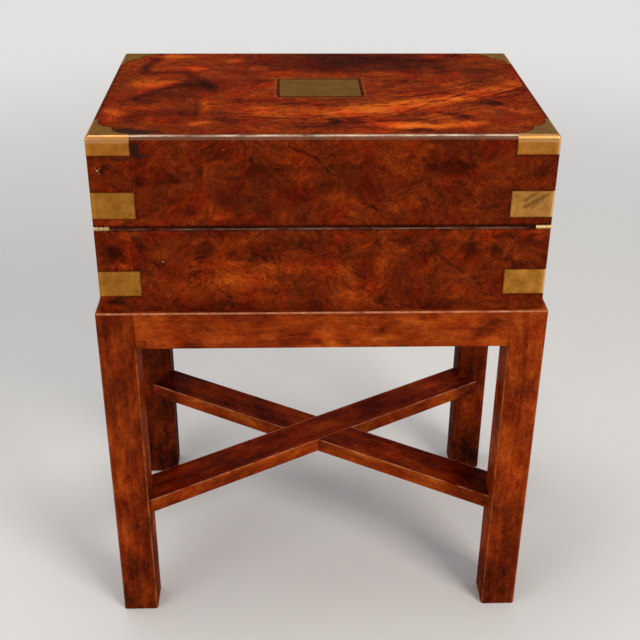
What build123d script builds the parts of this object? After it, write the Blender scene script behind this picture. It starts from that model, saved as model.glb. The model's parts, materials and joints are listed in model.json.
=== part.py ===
from build123d import *
import os
from math import atan, cos, degrees, hypot, radians, sin

# A brass-bound writing slope on its own stand, in millimetres. The origin is the middle of the
# stand's footprint on the floor, +Z is up and the hinged side of the box faces -Y.

# Closed box
box_width = 450.0
box_depth = 300.0
seam_height = 95.0  # underside of the box to the middle of the seam, at the hinges
lid_height = 94.0  # middle of the seam to the top of the lid, at the hinges
slope_angle = 9.3  # degrees; the seam climbs by this towards the lock
seam_gap = 2.0
wall = 12.0
bottom_board = 8.0
top_board = 8.0
board_rebate = 6.0
corner_round = 2.5
top_round = 4.5

# Stand
stand_height = 396.0
stand_lip = 5.5
seat_depth = 4.0
seat_clearance = 0.5
leg_size = 39.0
rail_height = 41.0
rail_thickness = 22.0
tenon_thickness = 10.0
tenon_length = 20.0
tenon_shoulder = 6.0
stand_round = 3.0
foot_chamfer = 1.0
stretcher_width = 44.0
stretcher_thickness = 17.0
stretcher_top = 150.0
stretcher_tail = 14.0  # past the inner corner of a leg
stub_length = 16.0
stub_width = 12.0
stub_thickness = 9.0

# Brass let in flush with the wood
plate_thickness = 1.5
least_round = 0.2
strap_reach = 42.5
strap_height = 27.5
low_strap_level = 21.0  # above the underside of the box
high_strap_level = 105.0
bracket_front = 41.5
bracket_side = 50.0
bracket_drop = 19.5
bracket_tip = 7.0
bracket_tip_run = 5.0
scallop_radius = 19.0
plate_length = 85.0
plate_width = 62.0
plate_shift = 6.0  # from the middle of the lid towards the lock
name_plate_thickness = 1.0
string_margin = 4.0
string_width = 1.0
string_depth = 0.8

# Box hinges
hinge_proud = 0.3
knuckle_radius = 2.2
knuckle_clearance = 0.3
knuckle_edge = 0.7
knuckle_length = 4.9
knuckle_gap = 0.3
knuckle_count = 3
pin_radius = 0.8
pin_clearance = 0.05
leaf_gap = 0.2  # from the middle of the seam
leaf_thickness = 1.2
leaf_width = 10.0
leaf_edge = 1.0
leaf_length = 45.0
leaf_nose = 10.0
leaf_screw_start = 12.0
leaf_screw_pitch = 13.0
leaf_screw_count = 3

# Screws
head_radius = 2.0
head_depth = 1.0
shank_radius = 1.1
screw_length = 9.0
slot_width = 0.5
slot_depth = 0.4

# Writing flaps
flap_drop = 1.0  # below the rim
flap_thickness = 6.0
flap_clearance = 0.5
seat_gap = 0.3
flap_border = 12.0
leather_thickness = 0.8
flap_pin_radius = 1.5
flap_pin_clearance = 0.15
flap_pin_depth = 6.0
ledge_width = 6.0
ledge_depth = 6.0
tab_width = 14.0
tab_length = 19.0
tab_overhang = 8.0

# Pen and ink section
ink_depth = 52.0
divider_thickness = 4.0
ink_floor_level = 82.0  # underside, above the underside of the box
ink_floor_thickness = 5.0
housing_depth = 3.0
ink_cell = 52.0
partition_drop = 2.0  # below the rim
bearer_width = 6.0
bearer_height = 17.0
tray_clearance = 0.8
tray_height = 24.0
tray_round = 1.2
scoop_width = 40.0
scoop_depth = 17.0
scoop_margin = 8.0
bottle_size = 48.0
bottle_height = 28.0
bottle_base = 5.0
bottle_shoulder = 5.0
bottle_round = 4.0
shoulder_round = 2.0
ink_radius = 17.0
neck_radius = 13.0
neck_height = 6.0
mouth_radius = 9.0
cap_radius = 16.0
cap_top = 3.5
cap_round = 2.0

# Box lock
selvedge_length = 64.0
selvedge_thickness = 1.5
selvedge_margin = 1.5  # from the outer and inner faces of the back
case_length = 54.0
case_depth = 9.5
case_height = 30.0
case_wall = 1.2
chamber_height = 10.5  # below the rim
bolt_thickness = 1.2
bolt_clearance = 0.2
bolt_throw = 5.0
bolt_set_in = 4.75  # inner face of the back to the middle of the bolt
bolt_height = 11.7
bolt_left = 24.0
bolt_right = 12.0
post_width = 4.5
tongue_length = 10.0
tongue_height = 2.4
staple_spread = 12.0
staple_width = 2.5
staple_leg = 1.2
staple_eye = 2.4
staple_reach = 9.0  # past the middle of the seam
staple_clearance = 0.5
link_length = 48.0
link_screw_spread = 19.5
lock_screw_spread = 29.5
key_radius = 2.2
key_slot = 2.0
key_level = 17.5  # below the rim, at the outer face
key_drop = 6.5
talon_width = 12.0
talon_height = 8.0
escutcheon_margin = 1.6

# Working tools
overrun = 5.0
mitre_reach = 30.0

half_width = box_width / 2
half_depth = box_depth / 2
inner_half_width = half_width - wall
inner_half_depth = half_depth - wall
box_height = seam_height + lid_height
box_bottom = stand_height - seat_depth
box_top = box_bottom + box_height
slope = radians(slope_angle)
hinge_y = -half_depth - hinge_proud
seam_z = box_bottom + seam_height
rim = seam_gap / 2

stand_half_width = half_width + seat_clearance + stand_lip
stand_half_depth = half_depth + seat_clearance + stand_lip
rail_bottom = stand_height - rail_height
leg_inner_x = stand_half_width - leg_size
leg_inner_y = stand_half_depth - leg_size
leg_diagonal = hypot(leg_inner_x, leg_inner_y)

# Each half of the box has a frame on the seam: its x runs along the hinges, its y up the slope
# from the hinge axis, and its -z goes down into that half.
BASE = 1
LID = -1
seam_frames = {
    BASE: Plane(origin=(0, hinge_y, seam_z), x_dir=(1, 0, 0), z_dir=(0, -sin(slope), cos(slope))),
    LID: Plane(origin=(0, hinge_y, seam_z), x_dir=(-1, 0, 0), z_dir=(0, sin(slope), -cos(slope))),
}
FRONT_TO_BACK = (-1, 1)
LEFT_TO_RIGHT = (-1, 1)
side_names = {-1: "left", 1: "right"}
end_names = {-1: "front", 1: "back"}


def slope_run(plan_y, depth, half):
    """Distance up the slope of a point that lies over plan_y and depth into one half."""
    return (plan_y - hinge_y - half * depth * sin(slope)) / cos(slope)


def seam_level(plan_y, depth=0.0):
    """Height of the seam over plan_y, or of a level that lies depth below it."""
    return seam_z + (plan_y - hinge_y) * sin(slope) / cos(slope) - depth / cos(slope)


def save(builder, name):
    """Label a finished piece and write its file."""
    builder.part.label = name
    export_step(builder.part, f"parts/{name}.step")


def upright_block(centre, size, low, high):
    """A plain block with its centre on plan, its size on plan and its two levels."""
    with BuildPart() as block:
        with BuildSketch(Plane.XY.offset(low)):
            with Locations(centre):
                Rectangle(*size)
        extrude(amount=high - low)
    return block.part


def seam_block(half, centre, size, top, depth):
    """A plain block square to the seam; top and depth are measured down into its half."""
    with BuildPart() as block:
        with BuildSketch(seam_frames[half].offset(-top)):
            with Locations(centre):
                Rectangle(*size)
        extrude(amount=-depth)
    return block.part


def cross_pins(ends, radius, plan_y, level):
    """Round pins along X, each from the first to the second of its two ends."""
    with BuildPart() as pins:
        for start, end in ends:
            with BuildSketch(Plane.YZ.offset(start)):
                with Locations((plan_y, level)):
                    Circle(radius)
            extrude(amount=end - start)
    return pins.part


def countersunk_screws(half, points, top):
    """Countersunk screws driven into one half, with their heads at a level below the seam."""
    head_taper = degrees(atan((head_radius - shank_radius) / head_depth))
    with BuildPart() as screws:
        with BuildSketch(seam_frames[half].offset(-top)):
            with Locations(*points):
                Circle(head_radius)
        extrude(amount=-head_depth, taper=head_taper)
        with BuildSketch(seam_frames[half].offset(-top)):
            with Locations(*points):
                Circle(shank_radius)
        extrude(amount=-screw_length)
    return screws.part


def slotted(screws, half, points, top):
    """The same screws with a driver slot cut across each head."""
    with BuildPart() as cut:
        add(screws)
        with BuildSketch(seam_frames[half].offset(-top)):
            with Locations(*points):
                Rectangle(slot_width, 2 * head_radius)
        extrude(amount=-slot_depth, mode=Mode.SUBTRACT)
    return cut


# Stand: legs, rails and the crossed stretchers


def stand_envelope():
    """The stand's outside as one solid, with the seat that the box drops into cut in its top."""
    with BuildPart() as envelope:
        with BuildSketch():
            Rectangle(2 * stand_half_width, 2 * stand_half_depth)
        extrude(amount=stand_height)
        fillet(envelope.edges().filter_by(Axis.Z), stand_round)
        fillet(envelope.faces().sort_by(Axis.Z)[-1].edges(), stand_round / 2)
        with BuildSketch(Plane.XY.offset(box_bottom)):
            Rectangle(box_width + 2 * seat_clearance, box_depth + 2 * seat_clearance)
        extrude(amount=seat_depth, mode=Mode.SUBTRACT)
    return envelope.part


def stand_rail(along_x, side, envelope):
    """A rail flush with the legs, with a tenon at each end."""
    reach = leg_inner_x if along_x else leg_inner_y
    face = stand_half_depth if along_x else stand_half_width
    middle = side * (face - rail_thickness / 2)
    tenon_low = rail_bottom + tenon_shoulder
    tenon_high = stand_height - seat_depth - tenon_shoulder
    with BuildPart() as rail:
        for length, thickness, low, high in (
            (2 * reach, rail_thickness, rail_bottom, stand_height),
            (2 * (reach + tenon_length), tenon_thickness, tenon_low, tenon_high),
        ):
            size = (length, thickness) if along_x else (thickness, length)
            with BuildSketch(Plane.XY.offset(low)):
                with Locations((0, middle) if along_x else (middle, 0)):
                    Rectangle(*size)
            extrude(amount=high - low)
        add(envelope, mode=Mode.INTERSECT)
    return rail


def stretcher(turn, upper):
    """A diagonal stretcher, notched over two legs and halved over its fellow."""
    low = stretcher_top - stretcher_thickness
    half_way = low + stretcher_thickness / 2
    bar_length = 2 * (leg_diagonal + stretcher_tail)
    stub_low = half_way - stub_thickness / 2
    along = (leg_inner_x, turn * leg_inner_y, 0)
    across = (leg_inner_x, -turn * leg_inner_y, 0)
    with BuildPart() as bar:
        with BuildSketch(Plane(origin=(0, 0, low), x_dir=along)):
            Rectangle(bar_length, stretcher_width)
        extrude(amount=stretcher_thickness)
        with BuildSketch():
            with GridLocations(2 * leg_inner_x + leg_size, 2 * leg_inner_y + leg_size, 2, 2):
                Rectangle(leg_size, leg_size)
        extrude(amount=stretcher_top, mode=Mode.SUBTRACT)
        with BuildSketch(Plane(origin=(0, 0, stub_low), x_dir=along)):
            Rectangle(2 * (leg_diagonal + stub_length), stub_width)
        extrude(amount=stub_thickness)
        with BuildSketch(Plane(origin=(0, 0, low if upper else half_way), x_dir=across)):
            Rectangle(bar_length, stretcher_width)
        extrude(amount=stretcher_thickness / 2, mode=Mode.SUBTRACT)
    return bar


def stand_leg(side_x, side_y, envelope, joined):
    """A square leg, rounded below the rails, with mortises for all that joins it."""
    centre = (side_x * (stand_half_width - leg_size / 2), side_y * (stand_half_depth - leg_size / 2))
    with BuildPart() as leg:
        with BuildSketch():
            with Locations(centre):
                RectangleRounded(leg_size, leg_size, stand_round)
        extrude(amount=stand_height)
        chamfer(leg.faces().sort_by(Axis.Z)[0].edges(), foot_chamfer)
        with BuildSketch(Plane.XY.offset(rail_bottom)):
            with Locations(centre):
                Rectangle(leg_size, leg_size)
        extrude(amount=rail_height)
        add(envelope, mode=Mode.INTERSECT)
        for piece in joined:
            add(piece, mode=Mode.SUBTRACT)
    return leg


def make_stand():
    """Build and save every piece of the stand."""
    envelope = stand_envelope()
    joined = []
    for along_x in (True, False):
        for side in (-1, 1):
            rail = stand_rail(along_x, side, envelope)
            save(rail, "stand_rail_" + (end_names[side] if along_x else side_names[side]))
            joined.append(rail.part)
    for name, turn, upper in (("upper", 1, True), ("lower", -1, False)):
        bar = stretcher(turn, upper)
        save(bar, f"stand_stretcher_{name}")
        joined.append(bar.part)
    for side_x in LEFT_TO_RIGHT:
        for side_y in FRONT_TO_BACK:
            leg = stand_leg(side_x, side_y, envelope, joined)
            save(leg, f"stand_leg_{end_names[side_y]}_{side_names[side_x]}")


# Brass fittings of the box


def closed_box(inset):
    """The closed box as one solid, with every face moved in by inset."""
    with BuildPart() as block:
        with BuildSketch(Plane.XY.offset(box_bottom + inset)):
            Rectangle(box_width - 2 * inset, box_depth - 2 * inset)
        extrude(amount=box_height - 2 * inset)
        fillet(block.edges().filter_by(Axis.Z), max(corner_round - inset, least_round))
        fillet(block.faces().sort_by(Axis.Z)[-1].edges(), max(top_round - inset, least_round))
    return block.part


def strap_bed(side_x, side_y, level, core):
    """The space of a strap that wraps one upright corner, run out past the faces."""
    low = box_bottom + level
    with BuildPart() as bed:
        corner = (side_x * half_width, side_y * half_depth)
        add(upright_block(corner, (2 * strap_reach, 2 * strap_reach), low, low + strap_height))
        add(core, mode=Mode.SUBTRACT)
    return bed.part


def bracket_bed(side_x, side_y, core):
    """The space of a scalloped bracket over one corner of the lid, run out past the faces."""
    corner = Plane(
        origin=(side_x * half_width, side_y * half_depth, box_top),
        x_dir=(-side_x, 0, 0),
        z_dir=(0, 0, side_x * side_y),
    )
    waist = bracket_tip + scallop_radius
    shoulder = bracket_side - bracket_tip_run
    up = side_x * side_y
    with BuildPart() as bed:
        with BuildSketch(corner.offset(-up * (top_round + overrun) / 2)):
            with Locations((-overrun, -overrun)):
                for reach in ((bracket_front, waist), (waist, shoulder), (bracket_tip, bracket_side)):
                    Rectangle(reach[0] + overrun, reach[1] + overrun, align=(Align.MIN, Align.MIN))
            with Locations((bracket_front, waist), (waist, shoulder)):
                Circle(scallop_radius, mode=Mode.SUBTRACT)
        extrude(amount=top_round + overrun, both=True)
        with BuildSketch(corner.offset(-up * bracket_drop)):
            with Locations((-overrun, -overrun)):
                Rectangle(bracket_front + overrun, top_round + overrun, align=(Align.MIN, Align.MIN))
                Rectangle(top_round + overrun, bracket_side + overrun, align=(Align.MIN, Align.MIN))
        extrude(amount=up * (bracket_drop + overrun))
        add(core, mode=Mode.SUBTRACT)
    return bed.part


def make_fitting(beds, outside, name):
    """Save the brass that fills one or more beds, flush with the outside of the box."""
    with BuildPart() as fitting:
        for bed in beds:
            add(bed)
        add(outside, mode=Mode.INTERSECT)
    save(fitting, name)


# Box hinges


def knuckle_start(side, place):
    """Lower X of a knuckle; place counts from the outer end of the hinge."""
    outer = half_width - knuckle_edge - place * (knuckle_length + knuckle_gap)
    return outer - knuckle_length if side > 0 else -outer


base_knuckles = range(0, knuckle_count, 2)
lid_knuckles = range(1, knuckle_count, 2)
knuckle_run = knuckle_count * knuckle_length + (knuckle_count - 1) * knuckle_gap
leaf_start = knuckle_radius + knuckle_clearance
leaf_centre_x = half_width - leaf_edge - leaf_width / 2
leaf_screw_points = [
    (side * leaf_centre_x, leaf_screw_start + place * leaf_screw_pitch)
    for side in LEFT_TO_RIGHT
    for place in range(leaf_screw_count)
]


def hinge_leaves(half, places, bore_radius, screws):
    """The two leaves on one half of the box, each with its knuckles and screw seats."""
    nose_x = half_width - knuckle_edge - knuckle_run / 2
    with BuildPart() as leaves:
        with BuildSketch(seam_frames[half].offset(-leaf_gap)):
            for side in LEFT_TO_RIGHT:
                with Locations((side * leaf_centre_x, (leaf_start + leaf_length) / 2)):
                    Rectangle(leaf_width, leaf_length - leaf_start)
                with Locations((side * nose_x, (leaf_start + leaf_nose) / 2)):
                    Rectangle(knuckle_run, leaf_nose - leaf_start)
                for place in places:
                    web_x = knuckle_start(side, place) + knuckle_length / 2
                    with Locations((half * web_x, leaf_start / 2)):
                        Rectangle(knuckle_length, leaf_start)
        extrude(amount=-leaf_thickness)
        ends = [
            (knuckle_start(side, place), knuckle_start(side, place) + knuckle_length)
            for side in LEFT_TO_RIGHT
            for place in places
        ]
        add(cross_pins(ends, knuckle_radius, hinge_y, seam_z))
        whole = [(-half_width - overrun, half_width + overrun)]
        add(cross_pins(whole, bore_radius, hinge_y, seam_z), mode=Mode.SUBTRACT)
        add(screws, mode=Mode.SUBTRACT)
    return leaves


def hinge_pin_ends(extra):
    """The two ends along X of each hinge's pin or of the room around its knuckles."""
    inner = half_width - knuckle_edge - knuckle_run - extra
    outer = half_width - knuckle_edge + extra
    return [(-outer, -inner), (inner, outer)]


# Writing flaps

flap_top = rim + flap_drop
flap_axis_depth = flap_top + flap_thickness / 2
flap_half_width = inner_half_width - flap_clearance
divider_front = inner_half_depth - ink_depth - divider_thickness
flap_free_y = {
    BASE: divider_front + divider_thickness - flap_clearance,
    LID: inner_half_depth - flap_clearance,
}


def flap_end(half):
    """Run up the slope of a flap's free edge, clear of what is behind it at either face."""
    return min(slope_run(flap_free_y[half], depth, half) for depth in (flap_top, flap_top + flap_thickness))


def flap_pivot(half):
    """Run up the slope, Y and Z of the axis that a flap turns on."""
    run = slope_run(-inner_half_depth + flap_clearance + flap_thickness / 2, flap_axis_depth, half)
    point = seam_frames[half].from_local_coords((0, run, -flap_axis_depth))
    return run, point.Y, point.Z


def flap_pin_ends(inner_depth, outer_depth):
    """Ends along X of the pins that a flap turns on."""
    inner = flap_half_width - inner_depth
    outer = inner_half_width + outer_depth
    return [(-outer, -inner), (inner, outer)]


def leather_field(half):
    """Centre and size, in the seam's frame, of the leather on a flap."""
    run, _, _ = flap_pivot(half)
    end = flap_end(half)
    centre = (0, (run + end) / 2)
    size = (2 * (flap_half_width - flap_border), end - run - 2 * flap_border)
    return centre, size


def make_flap(half, name, overhang):
    """Save a flap's board, its leather with the pull tab, and its two pins."""
    run, axis_y, axis_z = flap_pivot(half)
    end = flap_end(half)
    pins = cross_pins(flap_pin_ends(flap_pin_depth, flap_pin_depth), flap_pin_radius, axis_y, axis_z)
    centre, size = leather_field(half)
    board_size = (2 * flap_half_width, end - run)
    with BuildPart() as board:
        add(seam_block(half, (0, (run + end) / 2), board_size, flap_top, flap_thickness))
        add(cross_pins([(-flap_half_width, flap_half_width)], flap_thickness / 2, axis_y, axis_z))
        add(seam_block(half, centre, size, flap_top, leather_thickness), mode=Mode.SUBTRACT)
        add(pins, mode=Mode.SUBTRACT)
    save(board, f"{name}_board")
    with BuildPart() as leather:
        add(seam_block(half, centre, size, flap_top, leather_thickness))
        tab_centre = (0, end + overhang - tab_length / 2)
        tab_size = (tab_width, tab_length)
        add(seam_block(half, tab_centre, tab_size, flap_top - leather_thickness, leather_thickness))
    save(leather, f"{name}_leather")
    with BuildPart() as pivots:
        add(pins)
    save(pivots, f"{name}_pins")


def make_ledges(half, room, end_y, name, with_back):
    """Save the strips that a flap rests on, trimmed to the room between the walls."""
    top = flap_top + flap_thickness + seat_gap
    start = slope_run(-inner_half_depth - overrun, top, half)
    end = slope_run(end_y + overrun, top, half)
    with BuildPart() as ledges:
        for side in LEFT_TO_RIGHT:
            centre = (side * (inner_half_width - ledge_width / 2), (start + end) / 2)
            add(seam_block(half, centre, (ledge_width, end - start), top, ledge_depth))
        add(room, mode=Mode.INTERSECT)
        if with_back:
            back_run = slope_run(end_y, top, half) - ledge_width / 2
            size = (2 * (inner_half_width - ledge_width - seat_gap), ledge_width)
            add(seam_block(half, (0, back_run), size, top, ledge_depth))
    save(ledges, name)


# Pen and ink section

divider_back = divider_front + divider_thickness
ink_middle_y = (divider_back + inner_half_depth) / 2
ink_floor_low = box_bottom + ink_floor_level
ink_floor_top = ink_floor_low + ink_floor_thickness
partition_inner = inner_half_width - ink_cell - divider_thickness
tray_bottom = ink_floor_top + bearer_height + seat_gap
tray_top = tray_bottom + tray_height
bottle_bottom = ink_floor_top + seat_gap
bottle_top = bottle_bottom + bottle_height


def make_ink_floor():
    """Save the floor of the section, let into the side and back boards."""
    front = divider_front
    back = inner_half_depth + housing_depth
    size = (2 * (inner_half_width + housing_depth), back - front)
    with BuildPart() as floor:
        add(upright_block((0, (front + back) / 2), size, ink_floor_low, ink_floor_top))
    save(floor, "ink_floor")
    return floor.part


def make_dividers():
    """Save the long divider, the two partitions and the bearers under the pen tray."""
    flap_seat = flap_top + flap_thickness + seat_gap
    divider_y = divider_front + divider_thickness / 2
    with BuildPart() as divider:
        add(upright_block((0, divider_y), (2 * inner_half_width, divider_thickness), ink_floor_top, box_top))
        split(bisect_by=seam_frames[BASE].offset(-flap_seat), keep=Keep.BOTTOM)
    save(divider, "ink_divider")
    with BuildPart() as partitions:
        size = (divider_thickness, ink_depth)
        for side in LEFT_TO_RIGHT:
            partition_x = side * (partition_inner + divider_thickness / 2)
            add(upright_block((partition_x, ink_middle_y), size, ink_floor_top, box_top))
        split(bisect_by=seam_frames[BASE].offset(-rim - partition_drop), keep=Keep.BOTTOM)
    save(partitions, "ink_partitions")
    with BuildPart() as bearers:
        for side in LEFT_TO_RIGHT:
            bearer_x = side * (partition_inner - bearer_width / 2)
            size = (bearer_width, ink_depth)
            add(upright_block((bearer_x, ink_middle_y), size, ink_floor_top, ink_floor_top + bearer_height))
    save(bearers, "tray_bearers")


def make_pen_tray():
    """Save the lift-out tray with its round-ended scoop."""
    length = 2 * (partition_inner - tray_clearance)
    scoop_radius = ((scoop_width / 2) ** 2 + scoop_depth**2) / (2 * scoop_depth)
    scoop_z = tray_top + scoop_radius - scoop_depth
    scoop_end = length / 2 - scoop_width / 2 - scoop_margin
    size = (length, ink_depth - 2 * tray_clearance)
    with BuildPart() as tray:
        add(upright_block((0, ink_middle_y), size, tray_bottom, tray_top))
        fillet(tray.faces().sort_by(Axis.Z)[-1].edges(), tray_round)
        add(cross_pins([(-scoop_end, scoop_end)], scoop_radius, ink_middle_y, scoop_z), mode=Mode.SUBTRACT)
        with Locations((-scoop_end, ink_middle_y, scoop_z), (scoop_end, ink_middle_y, scoop_z)):
            Sphere(scoop_radius, mode=Mode.SUBTRACT)
    save(tray, "pen_tray")


def make_inkwell(side):
    """Save one square glass bottle and its brass cap."""
    centre = (side * (inner_half_width - ink_cell / 2), ink_middle_y)
    cap_low = bottle_top + seat_gap
    neck_top = bottle_top + neck_height
    with BuildPart() as bottle:
        add(upright_block(centre, (bottle_size, bottle_size), bottle_bottom, bottle_top))
        fillet(bottle.edges().filter_by(Axis.Z), bottle_round)
        fillet(bottle.faces().sort_by(Axis.Z)[-1].edges(), shoulder_round)
        with BuildSketch(Plane.XY.offset(bottle_top)):
            with Locations(centre):
                Circle(neck_radius)
        extrude(amount=neck_height)
        with BuildSketch(Plane.XY.offset(bottle_bottom + bottle_base)):
            with Locations(centre):
                Circle(ink_radius)
        extrude(amount=bottle_height - bottle_base - bottle_shoulder, mode=Mode.SUBTRACT)
        with BuildSketch(Plane.XY.offset(bottle_bottom + bottle_base)):
            with Locations(centre):
                Circle(mouth_radius)
        extrude(amount=bottle_height + neck_height, mode=Mode.SUBTRACT)
    save(bottle, f"inkwell_{side_names[side]}")
    with BuildPart() as cap:
        with BuildSketch(Plane.XY.offset(cap_low)):
            with Locations(centre):
                Circle(cap_radius)
        extrude(amount=neck_top + cap_top - cap_low)
        fillet(cap.faces().sort_by(Axis.Z)[-1].edges(), cap_round)
        with BuildSketch(Plane.XY.offset(cap_low)):
            with Locations(centre):
                Circle(neck_radius + seat_gap)
        extrude(amount=neck_top + seat_gap - cap_low, mode=Mode.SUBTRACT)
    save(cap, f"inkwell_cap_{side_names[side]}")


# Box lock in the back board and its link plate in the lid

lock_top = seam_level(inner_half_depth, rim)
bolt_y = inner_half_depth + bolt_set_in
bolt_low = lock_top - chamber_height - bolt_height
staple_depth = staple_reach / 2
staple_run = slope_run(bolt_y, staple_depth, BASE)
tongue_z = seam_level(bolt_y, staple_depth)
rim_plate_start = slope_run(inner_half_depth + selvedge_margin, rim, BASE)
rim_plate_end = slope_run(half_depth - selvedge_margin, rim, BASE)
rim_plate_run = (rim_plate_start + rim_plate_end) / 2
rim_plate_width = rim_plate_end - rim_plate_start
key_z = seam_level(half_depth, rim) - key_level
lock_screw_points = [(side * lock_screw_spread, rim_plate_run) for side in LEFT_TO_RIGHT]


def lock_envelope():
    """The outside of the lock: a case let into the back board and a selvedge on the rim."""
    case_y = inner_half_depth + case_depth / 2
    with BuildPart() as outside:
        add(upright_block((0, case_y), (case_length, case_depth), lock_top - case_height, box_top))
        split(bisect_by=seam_frames[BASE].offset(-rim), keep=Keep.BOTTOM)
        size = (selvedge_length, rim_plate_width)
        add(seam_block(BASE, (0, rim_plate_run), size, rim, selvedge_thickness))
    return outside.part


def keyhole(margin, start_y, end_y):
    """A round hole over a narrow foot, widened by margin, from one Y to another."""
    with BuildPart() as hole:
        with BuildSketch(Plane.XZ.offset(-end_y)):
            with Locations((0, key_z)):
                Circle(key_radius + margin)
            with Locations((0, key_z - key_drop / 2)):
                Rectangle(key_slot + 2 * margin, key_drop + 2 * margin)
        extrude(amount=end_y - start_y)
    return hole.part


def make_lock(envelope, lock_screws):
    """Save the hollow lock case, its bolt and the screws of its selvedge."""
    chamber_y = inner_half_depth + case_depth / 2
    chamber_size = (case_length - 2 * case_wall, case_depth - 2 * case_wall)
    channel_low = bolt_low - seat_gap
    with BuildPart() as chamber:
        add(upright_block((0, chamber_y), chamber_size, lock_top - chamber_height, box_top))
        split(bisect_by=seam_frames[BASE].offset(-rim - selvedge_thickness), keep=Keep.BOTTOM)
    with BuildPart() as case:
        add(envelope)
        add(chamber.part, mode=Mode.SUBTRACT)
        channel = (chamber_size[0], bolt_thickness + 2 * bolt_clearance)
        add(upright_block((0, bolt_y), channel, channel_low, lock_top - chamber_height), mode=Mode.SUBTRACT)
        slot_size = (staple_width + 2 * staple_clearance, staple_eye + 2 * staple_leg + 2 * staple_clearance)
        for side in LEFT_TO_RIGHT:
            slot_centre = (side * staple_spread, staple_run)
            slot = seam_block(BASE, slot_centre, slot_size, 0, rim + selvedge_thickness + overrun)
            add(slot, mode=Mode.SUBTRACT)
        add(keyhole(0, bolt_y, half_depth), mode=Mode.SUBTRACT)
        add(lock_screws, mode=Mode.SUBTRACT)
    save(case, "lock_case")

    post_height = tongue_z + tongue_height / 2 - bolt_low
    from_corner = (Align.MIN, Align.MIN)
    with BuildPart() as bolt:
        with BuildSketch(Plane.XZ.offset(-bolt_y - bolt_thickness / 2)):
            with Locations((-bolt_left, bolt_low)):
                Rectangle(bolt_left + bolt_right, bolt_height, align=from_corner)
            for left in (-bolt_left, -bolt_left + 2 * staple_spread):
                with Locations((left, bolt_low)):
                    Rectangle(post_width, post_height, align=from_corner)
                with Locations((left, tongue_z - tongue_height / 2)):
                    Rectangle(tongue_length, tongue_height, align=from_corner)
            with Locations((-bolt_throw / 2, bolt_low)):
                Rectangle(talon_width, talon_height, align=(Align.CENTER, Align.MIN), mode=Mode.SUBTRACT)
        extrude(amount=bolt_thickness)
    save(bolt, "lock_bolt")

    save(slotted(lock_screws, BASE, lock_screw_points, rim), "lock_screws")


def escutcheon_bed():
    """The space of the keyhole's brass, run out past the back."""
    return keyhole(escutcheon_margin, half_depth - plate_thickness, half_depth + overrun)


def make_escutcheon(outside):
    """Save the keyhole's brass, flush with the back."""
    with BuildPart() as escutcheon:
        add(escutcheon_bed())
        add(outside, mode=Mode.INTERSECT)
        add(keyhole(0, half_depth - plate_thickness, half_depth), mode=Mode.SUBTRACT)
    save(escutcheon, "lock_escutcheon")


def link_plate_bed():
    """The space of the link plate in the lid's rim."""
    return seam_block(LID, (0, link_run), (link_length, rim_plate_width), rim, selvedge_thickness)


link_plate_start = slope_run(inner_half_depth + selvedge_margin, rim, LID)
link_plate_end = slope_run(half_depth - selvedge_margin, rim, LID)
link_run = (link_plate_start + link_plate_end) / 2
link_screw_points = [(side * link_screw_spread, link_run) for side in LEFT_TO_RIGHT]


def make_link_plate(link_screws):
    """Save the link plate with its two staples, and its screws."""
    outer = staple_eye + 2 * staple_leg
    with BuildPart() as link:
        add(link_plate_bed())
        for side in LEFT_TO_RIGHT:
            centre = (side * staple_spread, staple_run)
            add(seam_block(LID, centre, (staple_width, outer), -staple_reach, staple_reach + rim))
            eye_bottom = staple_reach - staple_leg
            eye = seam_block(LID, centre, (staple_width, staple_eye), -eye_bottom, eye_bottom)
            add(eye, mode=Mode.SUBTRACT)
        add(link_screws, mode=Mode.SUBTRACT)
    save(link, "link_plate")
    save(slotted(link_screws, LID, link_screw_points, rim), "link_plate_screws")


# Boards of the box


def board_wedge(side_x, side_y):
    """Corners on plan of the mitred wedge that holds the board on one side."""
    far_x = half_width + overrun
    far_y = half_depth + overrun
    near_x = half_width - mitre_reach
    near_y = half_depth - mitre_reach
    if side_y:
        corners = [(-far_x, far_y), (far_x, far_y), (near_x, near_y), (-near_x, near_y)]
        return [(x, side_y * y) for x, y in corners]
    corners = [(far_x, -far_y), (far_x, far_y), (near_x, near_y), (near_x, -near_y)]
    return [(side_x * x, y) for x, y in corners]


def make_boards(shell, beds, prefix):
    """Save the four mitred boards of one half, cut for the fittings let into them."""
    with BuildPart() as walls:
        add(shell)
        for bed in beds:
            add(bed, mode=Mode.SUBTRACT)
    for side_x, side_y in ((0, -1), (0, 1), (-1, 0), (1, 0)):
        with BuildPart() as board:
            with BuildSketch(Plane.XY.offset(box_bottom)):
                with BuildLine():
                    Polyline(*board_wedge(side_x, side_y), close=True)
                make_face()
            extrude(amount=box_height)
            add(walls.part, mode=Mode.INTERSECT)
        name = end_names[side_y] if side_y else side_names[side_x]
        save(board, f"{prefix}_{name}_board")


def box_room(half, end_y):
    """The room between the walls of one half, from the hinge side to end_y."""
    low = box_bottom + bottom_board if half == BASE else box_bottom
    high = box_top if half == BASE else box_top - top_board
    middle_y = (end_y - inner_half_depth) / 2
    return upright_block((0, middle_y), (2 * inner_half_width, end_y + inner_half_depth), low, high)


def box_shell(half, outside):
    """The walls of one half in one solid, rebated for the board that closes them."""
    rebated = (2 * (inner_half_width + board_rebate), 2 * (inner_half_depth + board_rebate))
    rebate_low = box_bottom if half == BASE else box_top - top_board
    rebate_high = box_bottom + bottom_board if half == BASE else box_top
    keep = Keep.BOTTOM if half == BASE else Keep.TOP
    with BuildPart() as shell:
        add(outside)
        room = upright_block((0, 0), (2 * inner_half_width, 2 * inner_half_depth), box_bottom, box_top)
        add(room, mode=Mode.SUBTRACT)
        add(upright_block((0, 0), rebated, rebate_low, rebate_high), mode=Mode.SUBTRACT)
        split(bisect_by=seam_frames[BASE].offset(-half * rim), keep=keep)
    return shell.part


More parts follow.
